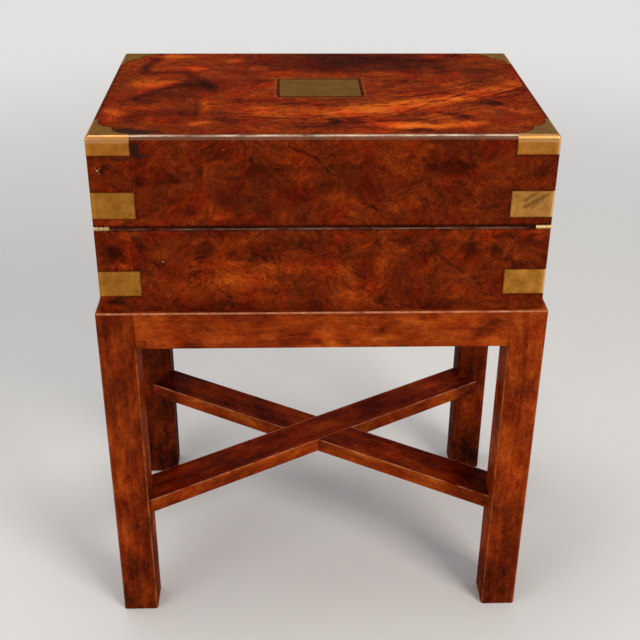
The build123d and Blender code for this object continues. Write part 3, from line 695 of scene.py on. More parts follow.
@dataclass(frozen=True)
class BurrVeneer:
    """Burr walnut veneer on a plain core, cut back for the brass of the box."""

    name: str
    layout: BoxLayout
    corner_reach: float
    start: Triple = (0.0, 0.0, 0.0)
    tone: float = 0.0
    contrast: float = 0.7
    placed: float = 1.0
    patches: tuple[Patch, ...] = ()
    veins: tuple[Vein, ...] = ()
    filler: tuple[Patch, ...] = ()
    chips: tuple[Patch, ...] = ()
    streak: bool = False
    pale_arris: bool = False
    veneer_depth: float = 1.3
    round_edge: float = 4.5

    STOPS = ramp_stops(
        (0.0, 36, 12, 5), (0.16, 56, 18, 5), (0.32, 80, 25, 6), (0.48, 107, 37, 8), (0.63, 137, 52, 11),
        (0.80, 178, 78, 19), (1.0, 208, 102, 30),
    )
    REDDER = (1.06, 0.52, 0.52, 1.0)
    BLACKED, BARE = paint(32, 23, 18), paint(178, 156, 112)
    # Painted reflection on the lid's rounded edge and its crest; wear and a painted highlight on the base's
    # edge.
    RUBBED, CREST, ARRIS = paint(112, 84, 66), paint(230, 202, 174), paint(128, 104, 90)
    STREAK_START = (-70.0, -76.0)
    STREAK_SLOPE, STREAK_BEND = -0.11, 0.00159
    # Distances in millimetres at which an effect starts and is full.
    WALL, SEAM_RIM, SEAM_ARRIS, PLATE_BORDER = (4.0, 3.0), (4.2, 1.2), (2.3, 1.5), (4.6, 3.9)
    GRIME, GRIME_LINE, BRASS_STEP = (4.0, 0.0), (0.9, 0.0), (0.5, 0.0)
    JOINT, CREST_LINE = (0.7, 0.1), (0.85, 0.15)

    def _streak(self, tree: ShaderTree, place: Arrow) -> Value:
        """The long pale streak across the lid's top, with the flow lines that follow it.

        Args:
            tree: The material's tree.
            place: Where on the lid, displaced, in millimetres.

        Returns:
            What both add to the figure.
        """
        along = place.dot(Grain.ALONG.value) - self.STREAK_START[0]
        middle = along * self.STREAK_SLOPE + along * along * self.STREAK_BEND + self.STREAK_START[1]
        off = place.dot(Grain.ACROSS.value) - middle
        flow = tree.arrow(along, off, 0.0)
        lines = tree.noise(flow, (70, 7, 20), 4.0, 0.6)
        threads = abs(tree.noise(flow + (300, 40, 0), (95, 13, 20), 2.0, 0.5)).fade(0.028, 0.006)
        present = along.fade(-50, 25)
        band = abs(off + lines * 22).fade(25, 7) * present
        beside = abs(off).fade(80, 25) * present
        return band * 0.22 + (lines * 0.62 - threads * 0.18) * beside

    def figure(self, tree: ShaderTree) -> Value:
        """Work out the burr's figure.

        Args:
            tree: The material's tree.

        Returns:
            The figure, about 0.5.
        """
        layout = self.layout
        top_share = tree.z.fade(layout.top - 3.4, layout.top - 1.6)
        on_wall = (1 - top_share) * layout.in_from_front(tree).fade(*self.WALL)
        in_corner = layout.in_from_side(tree).fade(self.corner_reach + 0.1, self.corner_reach - 0.1) * on_wall
        moved = tree.place + self.start + tree.arrow(in_corner * 240, 0.0, in_corner * 90)
        swept = tree.swirl(moved, 66, 27)
        curled = swept + tree.swirl(moved + swept, 19, 8)
        warped = moved + curled + tree.swirl(moved, 4.5, 1.3)
        broad = tree.noise(warped, 50, 2.0, 0.5)
        flames = tree.noise(warped, (27, 12, 12), 4.0, 0.62)
        mottle = tree.noise(warped, 7.0, 3.0, 0.62)
        speckle = tree.noise(moved, 2.1, 2.0, 0.6)
        growth = (tree.noise(warped, 58, 1.0) * 80).sine().fade(0.2, 1.0)
        veined = tree.noise(moved + (13, 29, 8), 40, 1.0).fade(-0.03, 0.10)
        veins = abs(tree.noise(warped + (70, 10, 90), 30, 3.0, 0.5)).fade(0.022, 0.003) * veined
        blots = tree.noise(warped + (50, 80, 20), (22, 13, 13), 3.0, 0.6).fade(0.08, 0.2)
        eyes_here = tree.noise(moved + (19, 5, 77), 34, 2.0).fade(0.03, 0.12)
        eyes = tree.cells(warped, 9).fade(0.30, 0.10) * eyes_here
        wild = broad * 0.72 + flames * 0.60 + mottle * 0.74 + speckle * 0.62
        wild = wild - growth * 0.05 - veins * 0.20 - blots * 0.17 - eyes * 0.24
        figure = 0.5 + self.tone + wild * self.contrast
        shift = swept * 0.12 + tree.swirl(moved + swept, 19, 7) + tree.swirl(moved, 6, 2.4)
        figure = figure + add_patches(tree, tree.place + shift, self.patches) * self.placed
        figure = figure - add_veins(tree, tree.place + shift * 0.35, self.veins) * (0.74 + mottle * 1.7)
        figure = figure + tree.noise(warped, (17, 3.4, 6), 3.0, 0.62) * top_share * 0.30
        if self.streak:
            figure = figure + self._streak(tree, tree.place + shift * 0.4) * top_share
        joint = abs(layout.in_from_side(tree) - self.corner_reach).fade(*self.JOINT) * on_wall
        return figure - joint * 0.12

    def _rubbed_edges(self, tree: ShaderTree, veneer: Tint) -> Tint:
        """Paint highlights on the lid's rounded long edges and, with wear, on the sharp edge under the seam.

        Args:
            tree: The material's tree.
            veneer: The veneer's colour.

        Returns:
            The colour with its painted edge highlights.
        """
        from_top = self.layout.top - tree.z
        # Painted reflection: a grey-brown band round the lid's rounded edge, with a bright crest line.
        on_round = self.layout.in_from_front(tree).most(from_top).fade(self.round_edge, self.round_edge - 0.7)
        worn = tree.noise(tree.place, (34, 9, 9), 4.0, 0.7)
        veneer = veneer.towards(self.RUBBED, on_round * (0.62 + worn * 1.2).least(0.9).most(0.1))
        crest = abs(from_top - 0.75).fade(*self.CREST_LINE) * on_round
        veneer = veneer.towards(self.CREST, crest * (0.56 + worn * 3.2).least(0.95).most(0.06))
        # Wear and a painted highlight on the base's edge under the seam.
        if self.pale_arris:
            arris = self.layout.off_seam(tree).fade(*self.SEAM_ARRIS)
            veneer = veneer.towards(self.ARRIS, arris * (0.35 + worn * 3.2).least(0.8).most(0.0))
        return veneer

    def _veneer(self, tree: ShaderTree, off_brass: Value, rim: Value) -> Tint:
        """Colour the veneer.

        Args:
            tree: The material's tree.
            off_brass: How far a point lies outside the nearest brass.
            rim: The painted shadow beside the seam, 1 there and 0 away from it.

        Returns:
            The veneer's colour, with its filler, chips, painted seam shadow and painted edge highlights.
        """
        grime = off_brass.fade(*self.GRIME) * 0.08 + off_brass.fade(*self.GRIME_LINE) * 0.22
        border = self.layout.off_plate(tree).fade(*self.PLATE_BORDER) * 0.16
        # The rim term paints the seam's shadow.
        veneer = tree.ramp(self.figure(tree) - grime - border - rim * 0.34, self.STOPS)
        redness = tree.noise(tree.place + (7, 3, 9), 30, 3.0).fade(-0.10, 0.18)
        veneer = veneer.towards(veneer * self.REDDER, redness * 0.75)
        if self.filler:
            blacked = add_patches(tree, tree.place + tree.swirl(tree.place, 9, 3), self.filler)
            veneer = veneer.towards(self.BLACKED, (blacked * 1.25).least(0.86))
        if self.chips:
            chipped = add_patches(tree, tree.place + tree.swirl(tree.place, 4, 2.0), self.chips)
            veneer = veneer.towards(self.BARE, chipped.fade(0.3, 0.8))
        return self._rubbed_edges(tree, veneer)

    def material(self) -> bpy.types.Material:
        """Make the material.

        Returns:
            The material.
        """
        layout, tree = self.layout, ShaderTree(self.name)
        off_brass = layout.off_brass(tree).least(layout.off_plate(tree))
        # Painted shadow beside the seam.
        rim = layout.off_seam(tree).fade(*self.SEAM_RIM)
        core, pores = Mahogany(self.name, Grain.ALONG.value, self.start, -0.04).colour(tree)
        depth = layout.in_from_side(tree).least(layout.in_from_front(tree)).least(layout.top - tree.z)
        inside = depth.fade(self.veneer_depth, self.veneer_depth + 0.1)
        scuffs = tree.noise(tree.place, 26, 4.0, 0.6)
        ripple = tree.noise(tree.place, 9.0, 2.0) * 0.05 + tree.noise(tree.place, 1.6, 2.0) * 0.008
        shader = tree.surface(
            Base_Color=self._veneer(tree, off_brass, rim).towards(core, inside),
            Roughness=0.30 + scuffs * 0.22 + inside * 0.2 + rim * 0.3,
            Normal=tree.bump(ripple - pores * inside * 0.04 - off_brass.fade(*self.BRASS_STEP) * 0.05),
            Specular_IOR_Level=0.0,
            Coat_Weight=0.025,
            Coat_Roughness=0.14,
        )
        return tree.finished(shader)


# Metal, leather and glass


@dataclass(frozen=True)
class AgedBrass:
    """Brass with years of handling: a rubbed middle, dull tarnish, scratches and filed pins."""

    name: str
    bright: Paint
    dull: Paint
    roughness: float = 0.36
    start: Triple = (0.0, 0.0, 0.0)
    layout: BoxLayout | None = None
    brushed: Triple | None = None
    pins: tuple[tuple[float, float], ...] = ()
    smears: tuple[Vein, ...] = ()
    # Strengths of the painted highlights on the bead and the upright corner.
    bead: float = 0.0
    arris: float = 0.0

    PIN_RADIUS, BEAD_DROP = 1.5, 6.6
    PIN_RING, EDGE_TARNISH, CORNER_RUB, CORNER_ARRIS = (0.45, 0.05), (-1.6, -0.2), (7.0, 1.0), (2.6, 1.2)
    SCRATCHED_ALONG = (0.83, 0.20, 0.52)
    STAIN, SMEAR, SHEEN = paint(52, 34, 14), paint(84, 52, 16), paint(205, 184, 150)
    # Colours of painted light: highlights on the rounded top and the upright corner, and the flat top's tint.
    BEAD, ARRIS = paint(206, 158, 110), paint(250, 214, 158)
    TOP_LIGHT = (0.59, 0.85, 3.2, 1.0)

    def _pins(self, tree: ShaderTree) -> tuple[Value, Value]:
        """The filed pins that hold the fittings.

        Args:
            tree: The material's tree.

        Returns:
            The dark rings round the pins, and the heads inside them.
        """
        round_corner = self.layout.round_corner(tree)
        ring: Value | float = 0.0
        head: Value | float = 0.0
        for reach, level in self.pins:
            away = ((round_corner - reach) ** 2 + (tree.z - level) ** 2) ** 0.5
            ring = abs(away - self.PIN_RADIUS).fade(*self.PIN_RING) + ring
            head = away.fade(self.PIN_RADIUS, self.PIN_RADIUS - 0.4) + head
        return ring, head

    def _by_place(self, tree: ShaderTree, colour: Tint, clouds: Value, spots: Value) -> Tint:
        """Paint light on the brass by its place: highlights on the bead and the corner, a tint on the flat
        top.

        Args:
            tree: The material's tree.
            colour: The brass's colour.
            clouds: Broad unevenness about 0.
            spots: Fine unevenness about 0.

        Returns:
            The changed colour.
        """
        from_top = self.layout.top - tree.z
        top_share = from_top.fade(0.4, 0.05)
        # Painted reflection on the brackets' rounded top: a pale band and a line below it.
        if self.bead:
            band = from_top.fade(self.BEAD_DROP, self.BEAD_DROP - 0.8) * (0.62 + clouds)
            line = abs(from_top - self.BEAD_DROP).fade(0.8, 0.2) * (0.8 + spots * 2.0)
            colour = colour.towards(self.BEAD, (band.most(line) * (1 - top_share) * self.bead).least(0.9))
        # Painted highlight down the rounded upright corner.
        if self.arris:
            corner = self.layout.round_corner(tree).fade(*self.CORNER_ARRIS)
            colour = colour.towards(self.ARRIS, corner * self.arris)
        # Painted light: the flat top faces take a cooler, greener tint.
        return colour.towards(colour * self.TOP_LIGHT, top_share)

    def material(self) -> bpy.types.Material:
        """Make the material.

        Returns:
            The material.
        """
        tree = ShaderTree(self.name)
        moved = tree.place + self.start
        clouds = tree.noise(moved, 15, 4.0, 0.6)
        spots = tree.noise(moved + (31, 7, 3), 3.6, 3.0, 0.65)
        grit = tree.noise(moved, 0.9, 2.0, 0.6)
        stains = tree.noise(moved + (5, 50, 9), (13, 9, 7), 4.0, 0.7).fade(0.13, 0.3)
        lines = tree.arrow(*grain_place(moved, self.brushed or self.SCRATCHED_ALONG))
        scratches = tree.noise(lines, (26, 0.45, 0.45), 2.0, 0.6)
        tarnish = 0.42 + clouds * 1.7 + spots * 0.8 + grit * 0.3 + stains * 0.35
        tarnish = tarnish - scratches * (0.75 if self.brushed else 0.35)
        relief = scratches * 0.010 + spots * 0.016 + clouds * 0.05
        if self.layout:
            tarnish = tarnish + self.layout.off_brass(tree).fade(*self.EDGE_TARNISH) * 0.55
            tarnish = tarnish - self.layout.round_corner(tree).fade(*self.CORNER_RUB) * 0.45
        if self.pins:
            ring, head = self._pins(tree)
            tarnish = tarnish + ring * 0.35 + head * 0.12
            relief = relief - ring * 0.03
        colour = tree.between(tarnish, self.bright, self.dull).towards(self.STAIN, stains * 0.35)
        if self.smears:
            smeared = add_veins(tree, tree.place + tree.swirl(tree.place, 5, 1.6), self.smears)
            colour = colour.towards(self.SMEAR, smeared.least(0.8))
        if self.layout:
            colour = self._by_place(tree, colour, clouds, spots)
        shader = tree.surface(
            Base_Color=colour,
            Metallic=1.0,
            Specular_Tint=self.SHEEN,
            Roughness=self.roughness + tarnish * 0.14 + spots * 0.12,
            Normal=tree.bump(relief),
        )
        return tree.finished(shader)


@dataclass(frozen=True)
class TooledLeather:
    """Thin dyed leather, rubbed paler where hands and paper have been."""

    name: str
    dye: Paint = paint(26, 48, 30)
    creased: Paint = paint(14, 30, 19)
    rubbed: Paint = paint(62, 76, 46)

    def material(self) -> bpy.types.Material:
        """Make the material.

        Returns:
            The material.
        """
        tree = ShaderTree(self.name)
        pebbles = tree.cells(tree.place + tree.swirl(tree.place, 3, 1), 0.9)
        creases = tree.noise(tree.place, (7, 5, 5), 5.0, 0.65)
        wear = tree.noise(tree.place + (3, 90, 1), 85, 6.0, 0.66).fade(-0.08, 0.34)
        shade = tree.noise(tree.place, 24, 4.0)
        colour = tree.between(0.35 + shade * 1.3 + creases * 0.5, self.creased, self.dye)
        shader = tree.surface(
            Base_Color=colour.towards(self.rubbed, wear * 0.45 + pebbles.fade(0.2, 0.6) * 0.08),
            Roughness=0.52 + creases * 0.3 + wear * 0.12,
            Normal=tree.bump(pebbles * -0.10 + creases * 0.12),
            Specular_IOR_Level=0.4,
        )
        return tree.finished(shader)


@dataclass(frozen=True)
class Gilding:
    """Gold leaf pressed into leather, worn through in places."""

    name: str
    dull: Paint = paint(150, 104, 40)
    bright: Paint = paint(222, 176, 92)
    leather: Paint = paint(46, 52, 28)

    def material(self) -> bpy.types.Material:
        """Make the material.

        Returns:
            The material.
        """
        tree = ShaderTree(self.name)
        worn = tree.noise(tree.place, 7, 4.0, 0.65).fade(0.02, 0.2)
        colour = tree.between(0.5 + tree.noise(tree.place, 2.0, 2.0), self.dull, self.bright)
        colour = colour.towards(self.leather, worn * 0.8)
        shader = tree.surface(Base_Color=colour, Metallic=1 - worn * 0.8, Roughness=0.34 + worn * 0.3)
        return tree.finished(shader)


@dataclass(frozen=True)
class BottleGlass:
    """Clear moulded glass with a slight green cast, a wavy skin and dried ink."""

    name: str
    green: Paint = paint(205, 224, 214)
    clear: Paint = paint(232, 240, 234)
    ink: Paint = paint(28, 34, 66)

    def material(self) -> bpy.types.Material:
        """Make the material.

        Returns:
            The material.
        """
        tree = ShaderTree(self.name)
        waves = tree.noise(tree.place, 8, 2.0)
        dried = tree.noise(tree.place + (40, 0, 9), 10, 4.0, 0.6).fade(0.12, 0.3)
        shader = tree.surface(
            Base_Color=tree.between(0.5 + waves, self.green, self.clear).towards(self.ink, dried * 0.5),
            Roughness=0.05 + dried * 0.4,
            Normal=tree.bump(waves * 0.12),
            Transmission_Weight=0.95,
            IOR=1.5,
        )
        return tree.finished(shader)


@dataclass(frozen=True)
class FiledSteel:
    """Grey steel with file marks and a little rust."""

    name: str
    dark: Paint = paint(104, 100, 94)
    light: Paint = paint(176, 172, 165)
    rusty: Paint = paint(84, 44, 22)

    def material(self) -> bpy.types.Material:
        """Make the material.

        Returns:
            The material.
        """
        tree = ShaderTree(self.name)
        marks = tree.noise(tree.place, (0.4, 8.0, 9.0), 2.0, 0.6)
        rust = tree.noise(tree.place, 5, 5.0, 0.7).fade(0.10, 0.3)
        shader = tree.surface(
            Base_Color=tree.between(0.5 + marks * 1.4, self.dark, self.light).towards(self.rusty, rust * 0.7),
            Metallic=1 - rust * 0.7,
            Roughness=0.34 + marks * 0.2 + rust * 0.35,
            Normal=tree.bump(marks * 0.02),
        )
        return tree.finished(shader)


def dress(node: str, material: bpy.types.Material) -> None:
    """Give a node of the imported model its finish.

    Args:
        node: The node's name.
        material: Its finish.
    """
    piece = frame["nodes"][node]
    if not piece.material_slots:
        piece.data.materials.append(material)
    for slot in piece.material_slots:
        slot.material = material
    log.info("%s is dressed in %s", node, material.name)


# Sub-assemblies


@dataclass
class Stand:
    """The low stand with square legs and crossed stretchers."""

    stretcher_half: float = 22.0

    RAIL_PATCHES = Patch.rows(
        on_front, (61, 374, 12, 7, -0.26), (108, 390, 16, 5, -0.2), (169, 385, 16, 8, -0.26),
        (163, 372, 14, 8, -0.3), (20, 361, 10, 6, -0.22), (-6, 362, 9, 7, -0.26), (-12, 372, 30, 13, 0.13),
        (-90, 366, 60, 9, 0.1), (70, 365, 50, 9, 0.1),
    )

    def dress(self) -> None:
        """Give every piece of the stand its own wood, with the fibres along the piece."""
        inner, outer = ([abs(value) / MM for value in corner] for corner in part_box("stand_leg_back_right"))
        rail_low, rail_high = (corner.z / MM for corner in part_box("stand_rail_front"))
        leg_edges = ((outer[0], outer[1]), (inner[0], outer[1]))
        stretcher_edges = ((self.stretcher_half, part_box("stand_stretcher_upper")[1].z / MM),)
        turn = math.atan2(inner[1], inner[0])
        up_right, down_right = (math.cos(turn), math.sin(turn), 0.0), (math.cos(turn), -math.sin(turn), 0.0)
        along, across, upright = Grain.ALONG.value, Grain.ACROSS.value, Grain.UPRIGHT.value
        pieces = {
            "leg_front_left": (upright, (0, 0, 0), -0.02),
            "leg_front_right": (upright, (130, 70, 310), 0.02),
            # The back legs' lower tones are painted shade.
            "leg_back_left": (upright, (60, 210, 90), -0.19),
            "leg_back_right": (upright, (410, 20, 50), -0.13),
            "rail_front": (along, (33, 81, 12), 0.03),
            "rail_back": (along, (533, 181, 72), 0.0),
            "rail_left": (across, (73, 31, 22), 0.0),
            "rail_right": (across, (173, 91, 42), 0.0),
            "stretcher_upper": (up_right, (9, 5, 66), -0.02),
            "stretcher_lower": (down_right, (209, 45, 26), -0.04),
        }
        for name, (fibres, start, tone) in pieces.items():
            node = f"stand_{name}"
            wood = Mahogany(node, fibres, start, tone, edges_below=rail_low)
            if name.startswith("stretcher"):
                # Painted shade of the box on the stretchers: redder, darker towards the legs, with paler
                # sides.
                wood = replace(
                    wood, edges=stretcher_edges, edge_wear=1.6, red=0.8, dark_ends=0.16, pale_sides=0.16
                )
            else:
                # A pale top rim: wear and a painted highlight.
                wood = replace(wood, worn_rim=(outer[0], outer[1], rail_high))
            if name.startswith("leg"):
                # Pale leg edges: wear and a painted highlight.
                wood = replace(wood, edges=leg_edges, dark_foot=0.14)
            if name == "rail_front":
                wood = replace(wood, patches=self.RAIL_PATCHES)
            dress(node, wood.material())


@dataclass
class Box:
    """The box itself: veneered boards, brass, lock and the plain wood inside."""

    layout: BoxLayout
    lid_corner: float = 41.5
    base_corner: float = 36.0
    pin_inset: float = 5.0

    # A row of patches is a middle, a reach both ways and a strength; a row of veins is a width, a
    # strength and the points that it joins. All are given in millimetres.
    TOP_PATCHES = Patch.rows(
        on_top, (72, -118, 28, 12, 0.4), (104, -124, 30, 11, 0.36), (144, -118, 26, 14, 0.25),
        (130, -80, 120, 60, 0.09), (140, -36, 24, 9, 0.22), (202, -78, 14, 18, 0.15),
        (-176, 20, 34, 20, 0.25), (-150, 26, 20, 10, 0.14), (-164, 134, 30, 12, 0.22),
        (-96, 112, 16, 10, 0.25), (-136, 80, 18, 11, 0.22), (-66, 80, 14, 12, 0.18), (-40, 64, 26, 8, 0.18),
        (-118, -113, 20, 10, 0.24), (-171, -63, 22, 10, 0.12), (-207, -84, 12, 26, 0.2),
        (-116, -60, 6, 34, 0.16), (78, 58, 32, 13, 0.16), (130, 132, 18, 9, 0.14), (34, 110, 130, 62, -0.34),
        (-130, 14, 32, 26, -0.22), (-150, -22, 34, 16, -0.2), (-180, -40, 20, 16, -0.16),
        (-184, -92, 14, 22, -0.2), (-142, -84, 44, 12, -0.14), (-94, -106, 16, 12, -0.2),
        (-74, -42, 32, 9, -0.2), (-62, 32, 18, 13, -0.17), (12, -108, 9, 10, -0.42), (31, -106, 12, 8, -0.18),
        (-2, -122, 56, 12, -0.16), (178, -48, 10, 9, -0.3), (170, -52, 22, 8, -0.14),
        (126, -84, 12, 7, -0.28), (140, -94, 13, 8, -0.34), (92, -136, 22, 6, -0.32), (88, 26, 24, 10, -0.15),
        (140, 66, 12, 24, -0.2), (160, 138, 14, 8, -0.26), (126, 116, 20, 10, -0.16),
        (180, 68, 24, 16, -0.14),
    )
    TOP_VEINS = Vein.rows(
        on_top, (1.6, 0.34, (85, -76), (101, -62), (112, -47)),
        (2.2, 0.42, (112, -47), (128, -39), (152, -15)), (5, 0.24, (-128, 44), (-162, 2), (-192, -32)),
        (5, 0.34, (-183, 120), (-194, 84), (-190, 60)), (4.5, 0.34, (-190, 60), (-165, 68), (-146, 64)),
        (6, 0.32, (-146, 64), (-131, 40), (-112, -4)), (2, 0.16, (-127, -38), (-125, -96)),
        (3, 0.24, (58, -104), (100, -104)),
    )
    LID_PATCHES = Patch.rows(
        on_front, (-110, 548, 8, 26, 0.13), (-106, 504, 24, 12, 0.16), (-14, 541, 26, 11, 0.1),
        (-150, 552, 26, 8, 0.07), (-140, 524, 22, 9, 0.07), (54, 556, 12, 9, 0.1), (28, 556, 14, 6, 0.09),
        (98, 566, 26, 6, 0.1), (66, 512, 14, 18, 0.1), (142, 506, 14, 10, 0.11), (-192, 497, 34, 5, 0.12),
        (134, 549, 15, 10, -0.34), (110, 549, 16, 7, -0.18), (-104, 560, 14, 10, -0.16),
        (-119, 546, 6, 9, -0.18), (-52, 548, 40, 9, -0.1), (-86, 514, 20, 12, -0.13), (-209, 546, 7, 5, -0.3),
        (-176, 536, 9, 8, -0.2), (-142, 537, 7, 5, -0.18), (-132, 506, 9, 5, -0.2), (210, 544, 14, 7, -0.16),
        (28, 532, 70, 12, -0.07),
    )
    LID_VEINS = Vein.rows(
        on_front, (1.1, 0.3, (-34, 571), (-9, 559), (6, 544)), (0.9, 0.14, (6, 544), (16, 538)),
        (1, 0.22, (44, 511), (57, 505), (56, 499)), (1, 0.16, (70, 514), (78, 500)),
        (1, 0.12, (-190, 538), (-160, 533), (-139, 537)),
    )
    BASE_PATCHES = Patch.rows(
        on_front, (-162, 459, 12, 10, 0.16), (-110, 446, 34, 9, 0.14), (-84, 430, 46, 12, 0.17),
        (-40, 444, 34, 9, 0.14), (-146, 424, 30, 16, 0.1), (-200, 446, 16, 5, 0.16), (-192, 481, 10, 4, 0.12),
        (60, 450, 10, 17, 0.14), (98, 441, 20, 12, 0.12), (126, 478, 18, 5, 0.1), (22, 412, 16, 8, 0.12),
        (198, 456, 16, 5, 0.12), (-206, 460, 12, 10, -0.26), (-182, 468, 8, 9, -0.2), (-184, 442, 5, 8, -0.2),
        (-117, 460, 14, 9, -0.24), (-90, 457, 9, 7, -0.2), (-66, 458, 26, 14, -0.18),
        (-108, 480, 30, 5, -0.16), (-20, 470, 40, 12, -0.12), (-207, 407, 12, 7, -0.26),
        (-100, 402, 60, 6, -0.16), (53, 470, 5, 7, -0.24), (80, 474, 16, 6, -0.2), (57, 408, 12, 6, -0.24),
        (38, 436, 9, 18, -0.14), (111, 462, 9, 9, -0.16), (146, 462, 14, 11, -0.26), (161, 441, 4, 5, -0.26),
        (172, 461, 9, 7, -0.24), (187, 451, 7, 6, -0.22), (180, 477, 14, 5, -0.18), (206, 471, 14, 8, -0.18),
        (120, 402, 80, 6, -0.12),
    )
    BASE_VEINS = Vein.rows(on_front, (1.4, 0.20, (114, 457), (130, 444), (142, 438)))
    BLACK_FILLER = Patch.rows(
        on_top, (-189, -134, 16, 9, 1), (-168, -138, 20, 7, 0.8), (-178, -143, 12, 5, 0.7),
    ) + Patch.rows(
        on_front, (-178.5, 568, 5.5, 10, 1), (-172, 561, 8, 4, 0.6), (-190, 557.5, 15, 2.2, 0.45),
    )
    CHIPS = Patch.rows(
        on_front, (-215, 546.6, 2.2, 1, 0.8), (-217.2, 549, 0.8, 1.8, 0.62), (-212.4, 548.8, 1.8, 0.7, 0.55),
        (-214.4, 544.6, 0.8, 1.6, 0.62), (-118.7, 566.6, 0.8, 0.8, 0.5), (-94.1, 567.6, 0.8, 0.8, 0.6),
    )
    BASE_CHIPS = Patch.rows(
        on_front, (-159, 451, 0.9, 1, 0.7), (-19, 440, 0.8, 3, 0.5), (215.5, 472, 1, 2, 0.5),
    )
    SMEARS = Vein.rows(
        on_front, (1.7, 0.7, (197, 508), (214, 519)), (1.3, 0.5, (203, 507), (218, 521)),
        (1.4, 0.6, (196, 515), (206, 521.5)),
    )

    def dress_boards(self) -> None:
        """Veneer the outside of the box, with the lid's top and front alike across their joints."""
        lid = BurrVeneer("lid_side_veneer", self.layout, self.lid_corner, tone=-0.06)
        lid_top = replace(
            lid, name="lid_top_veneer", tone=0.02, contrast=0.56, placed=1.05, patches=self.TOP_PATCHES,
            veins=self.TOP_VEINS, filler=self.BLACK_FILLER, streak=True,
        )
        # The lid's front is set darker than its top: partly the wood, partly painted shade.
        lid_front = replace(
            lid, name="lid_front_veneer", tone=-0.085, contrast=0.62, placed=0.9, patches=self.LID_PATCHES,
            veins=self.LID_VEINS, filler=self.BLACK_FILLER, chips=self.CHIPS,
        )
        base = BurrVeneer(
            "base_side_veneer", self.layout, self.base_corner, (37, 11, 140), -0.05, pale_arris=True
        )
        base_front = replace(
            base, name="base_front_veneer", contrast=0.68, patches=self.BASE_PATCHES, veins=self.BASE_VEINS,
            chips=self.BASE_CHIPS,
        )
        sides = ("back_board", "left_board", "right_board")
        for part, finish, boards in (
            ("lid", lid_top, ("top_board",)), ("lid", lid_front, ("front_board",)), ("lid", lid, sides),
            ("base", base_front, ("front_board",)), ("base", base, sides),
        ):
            material = finish.material()
            for board in boards:
                dress(f"{part}_{board}", material)

    def dress_inside(self) -> None:
        """Give the plain wood inside the box its finish."""
        along, across = Grain.ALONG.value, Grain.ACROSS.value
        pieces = {
            "base_bottom_board": (along, 0.0),
            "ink_floor": (along, -0.04),
            "ink_divider": (along, 0.02),
            "ink_partitions": (across, 0.02),
            "tray_bearers": (across, 0.0),
            "base_flap_ledges": (across, -0.03),
            "lid_flap_ledges": (across, -0.03),
            "pen_tray": (along, 0.05),
            "upper_flap_board": (along, 0.03),
            "lower_flap_board": (along, 0.0),
        }
        for number, (node, (fibres, tone)) in enumerate(pieces.items()):
            start = (97.0 * number, 41.0 * number, 23.0 * number)
            dress(node, Mahogany(node, fibres, start, tone, gloss=0.4).material())

    def _strap_pins(self) -> tuple[tuple[float, float], ...]:
        """Where the pins of the straps lie: how far round the corner, and how high.

        Returns:
            The distance round the corner and the height of each pin.
        """
        layout, half = self.layout, self.layout.strap_height / 2
        middles = (layout.low_strap + half, layout.high_strap + half)
        reach, rise = layout.strap_reach - self.pin_inset, half - self.pin_inset
        return tuple((reach, middle + side * rise) for middle in middles for side in (-1, 1))

    def dress_brass(self) -> None:
        """Give the straps, brackets, plates, hinges and lock their aged brass."""
        layout, pins = self.layout, self._strap_pins()
        strap = AgedBrass("strap_brass", paint(178, 120, 47), paint(126, 76, 21), layout=layout, pins=pins)
        # The right-hand straps and brackets are lighter copies with a painted corner highlight: painted light
        # from the right.
        right_strap = replace(
            strap, name="right_strap_brass", bright=paint(196, 134, 54), start=(41, 9, 60), arris=0.6
        )
        smeared = replace(
            strap, name="smeared_brass", bright=paint(195, 139, 69), dull=paint(142, 94, 40),
            smears=self.SMEARS, arris=0.7,
        )
        bracket = AgedBrass(
            "left_bracket_brass", paint(188, 119, 42), paint(131, 77, 24), start=(80, 20, 0), layout=layout,
            bead=0.7,
        )
        right_bracket = replace(
            bracket, name="right_bracket_brass", bright=paint(196, 131, 52), dull=paint(134, 83, 26),
            arris=0.6,
        )
        plate = AgedBrass(
            "plate_brass", paint(131, 96, 66), paint(95, 69, 43), 0.42, (9, 9, 9), brushed=Grain.ALONG.value
        )
        for finish, nodes in (
            (strap, ("base_strap_front_left", "base_straps_back_left", "lid_strap_front_left")),
            (right_strap, ("base_strap_front_right", "base_straps_back_right")),
            (smeared, ("lid_strap_front_right",)),
            (bracket, ("lid_bracket_front_left", "lid_bracket_back_left")),
            (right_bracket, ("lid_bracket_front_right", "lid_bracket_back_right")),
            (plate, ("name_plate",)),
            (AgedBrass("string_brass", paint(190, 118, 66), paint(116, 60, 28), 0.40), ("plate_stringing",)),
            (
                AgedBrass("hinge_brass", paint(208, 171, 124), paint(166, 128, 80), 0.40),
                ("hinge_base_leaves", "hinge_lid_leaves", "hinge_pins"),
            ),
            (
                AgedBrass("screw_brass", paint(222, 170, 88), paint(140, 94, 40), 0.34),
                (
                    "hinge_base_screws", "hinge_lid_screws", "lock_screws", "link_plate_screws",
                    "upper_flap_pins", "lower_flap_pins",
                ),
            ),
            (
                AgedBrass("lock_brass", paint(210, 154, 74), paint(136, 88, 34), 0.36, (5, 70, 3)),
                ("lock_case", "lock_escutcheon", "link_plate"),
            ),
            (FiledSteel("bolt_steel"), ("lock_bolt",)),
        ):
            material = finish.material()
            for node in nodes:
                dress(node, material)

    def dress(self) -> None:
        """Dress every piece of the box but its flaps' leather and its inkwells."""
        self.dress_boards()
        self.dress_inside()
        self.dress_brass()


def set_up(name: str, data: bpy.types.ID) -> bpy.types.Object:
    """Put a new object with this mesh, light or camera into the scene.

    Args:
        name: The object's name.
        data: Its mesh, light or camera.

    Returns:
        The object.
    """
    made = bpy.data.objects.new(name, data)
    bpy.context.scene.collection.objects.link(made)
    return made


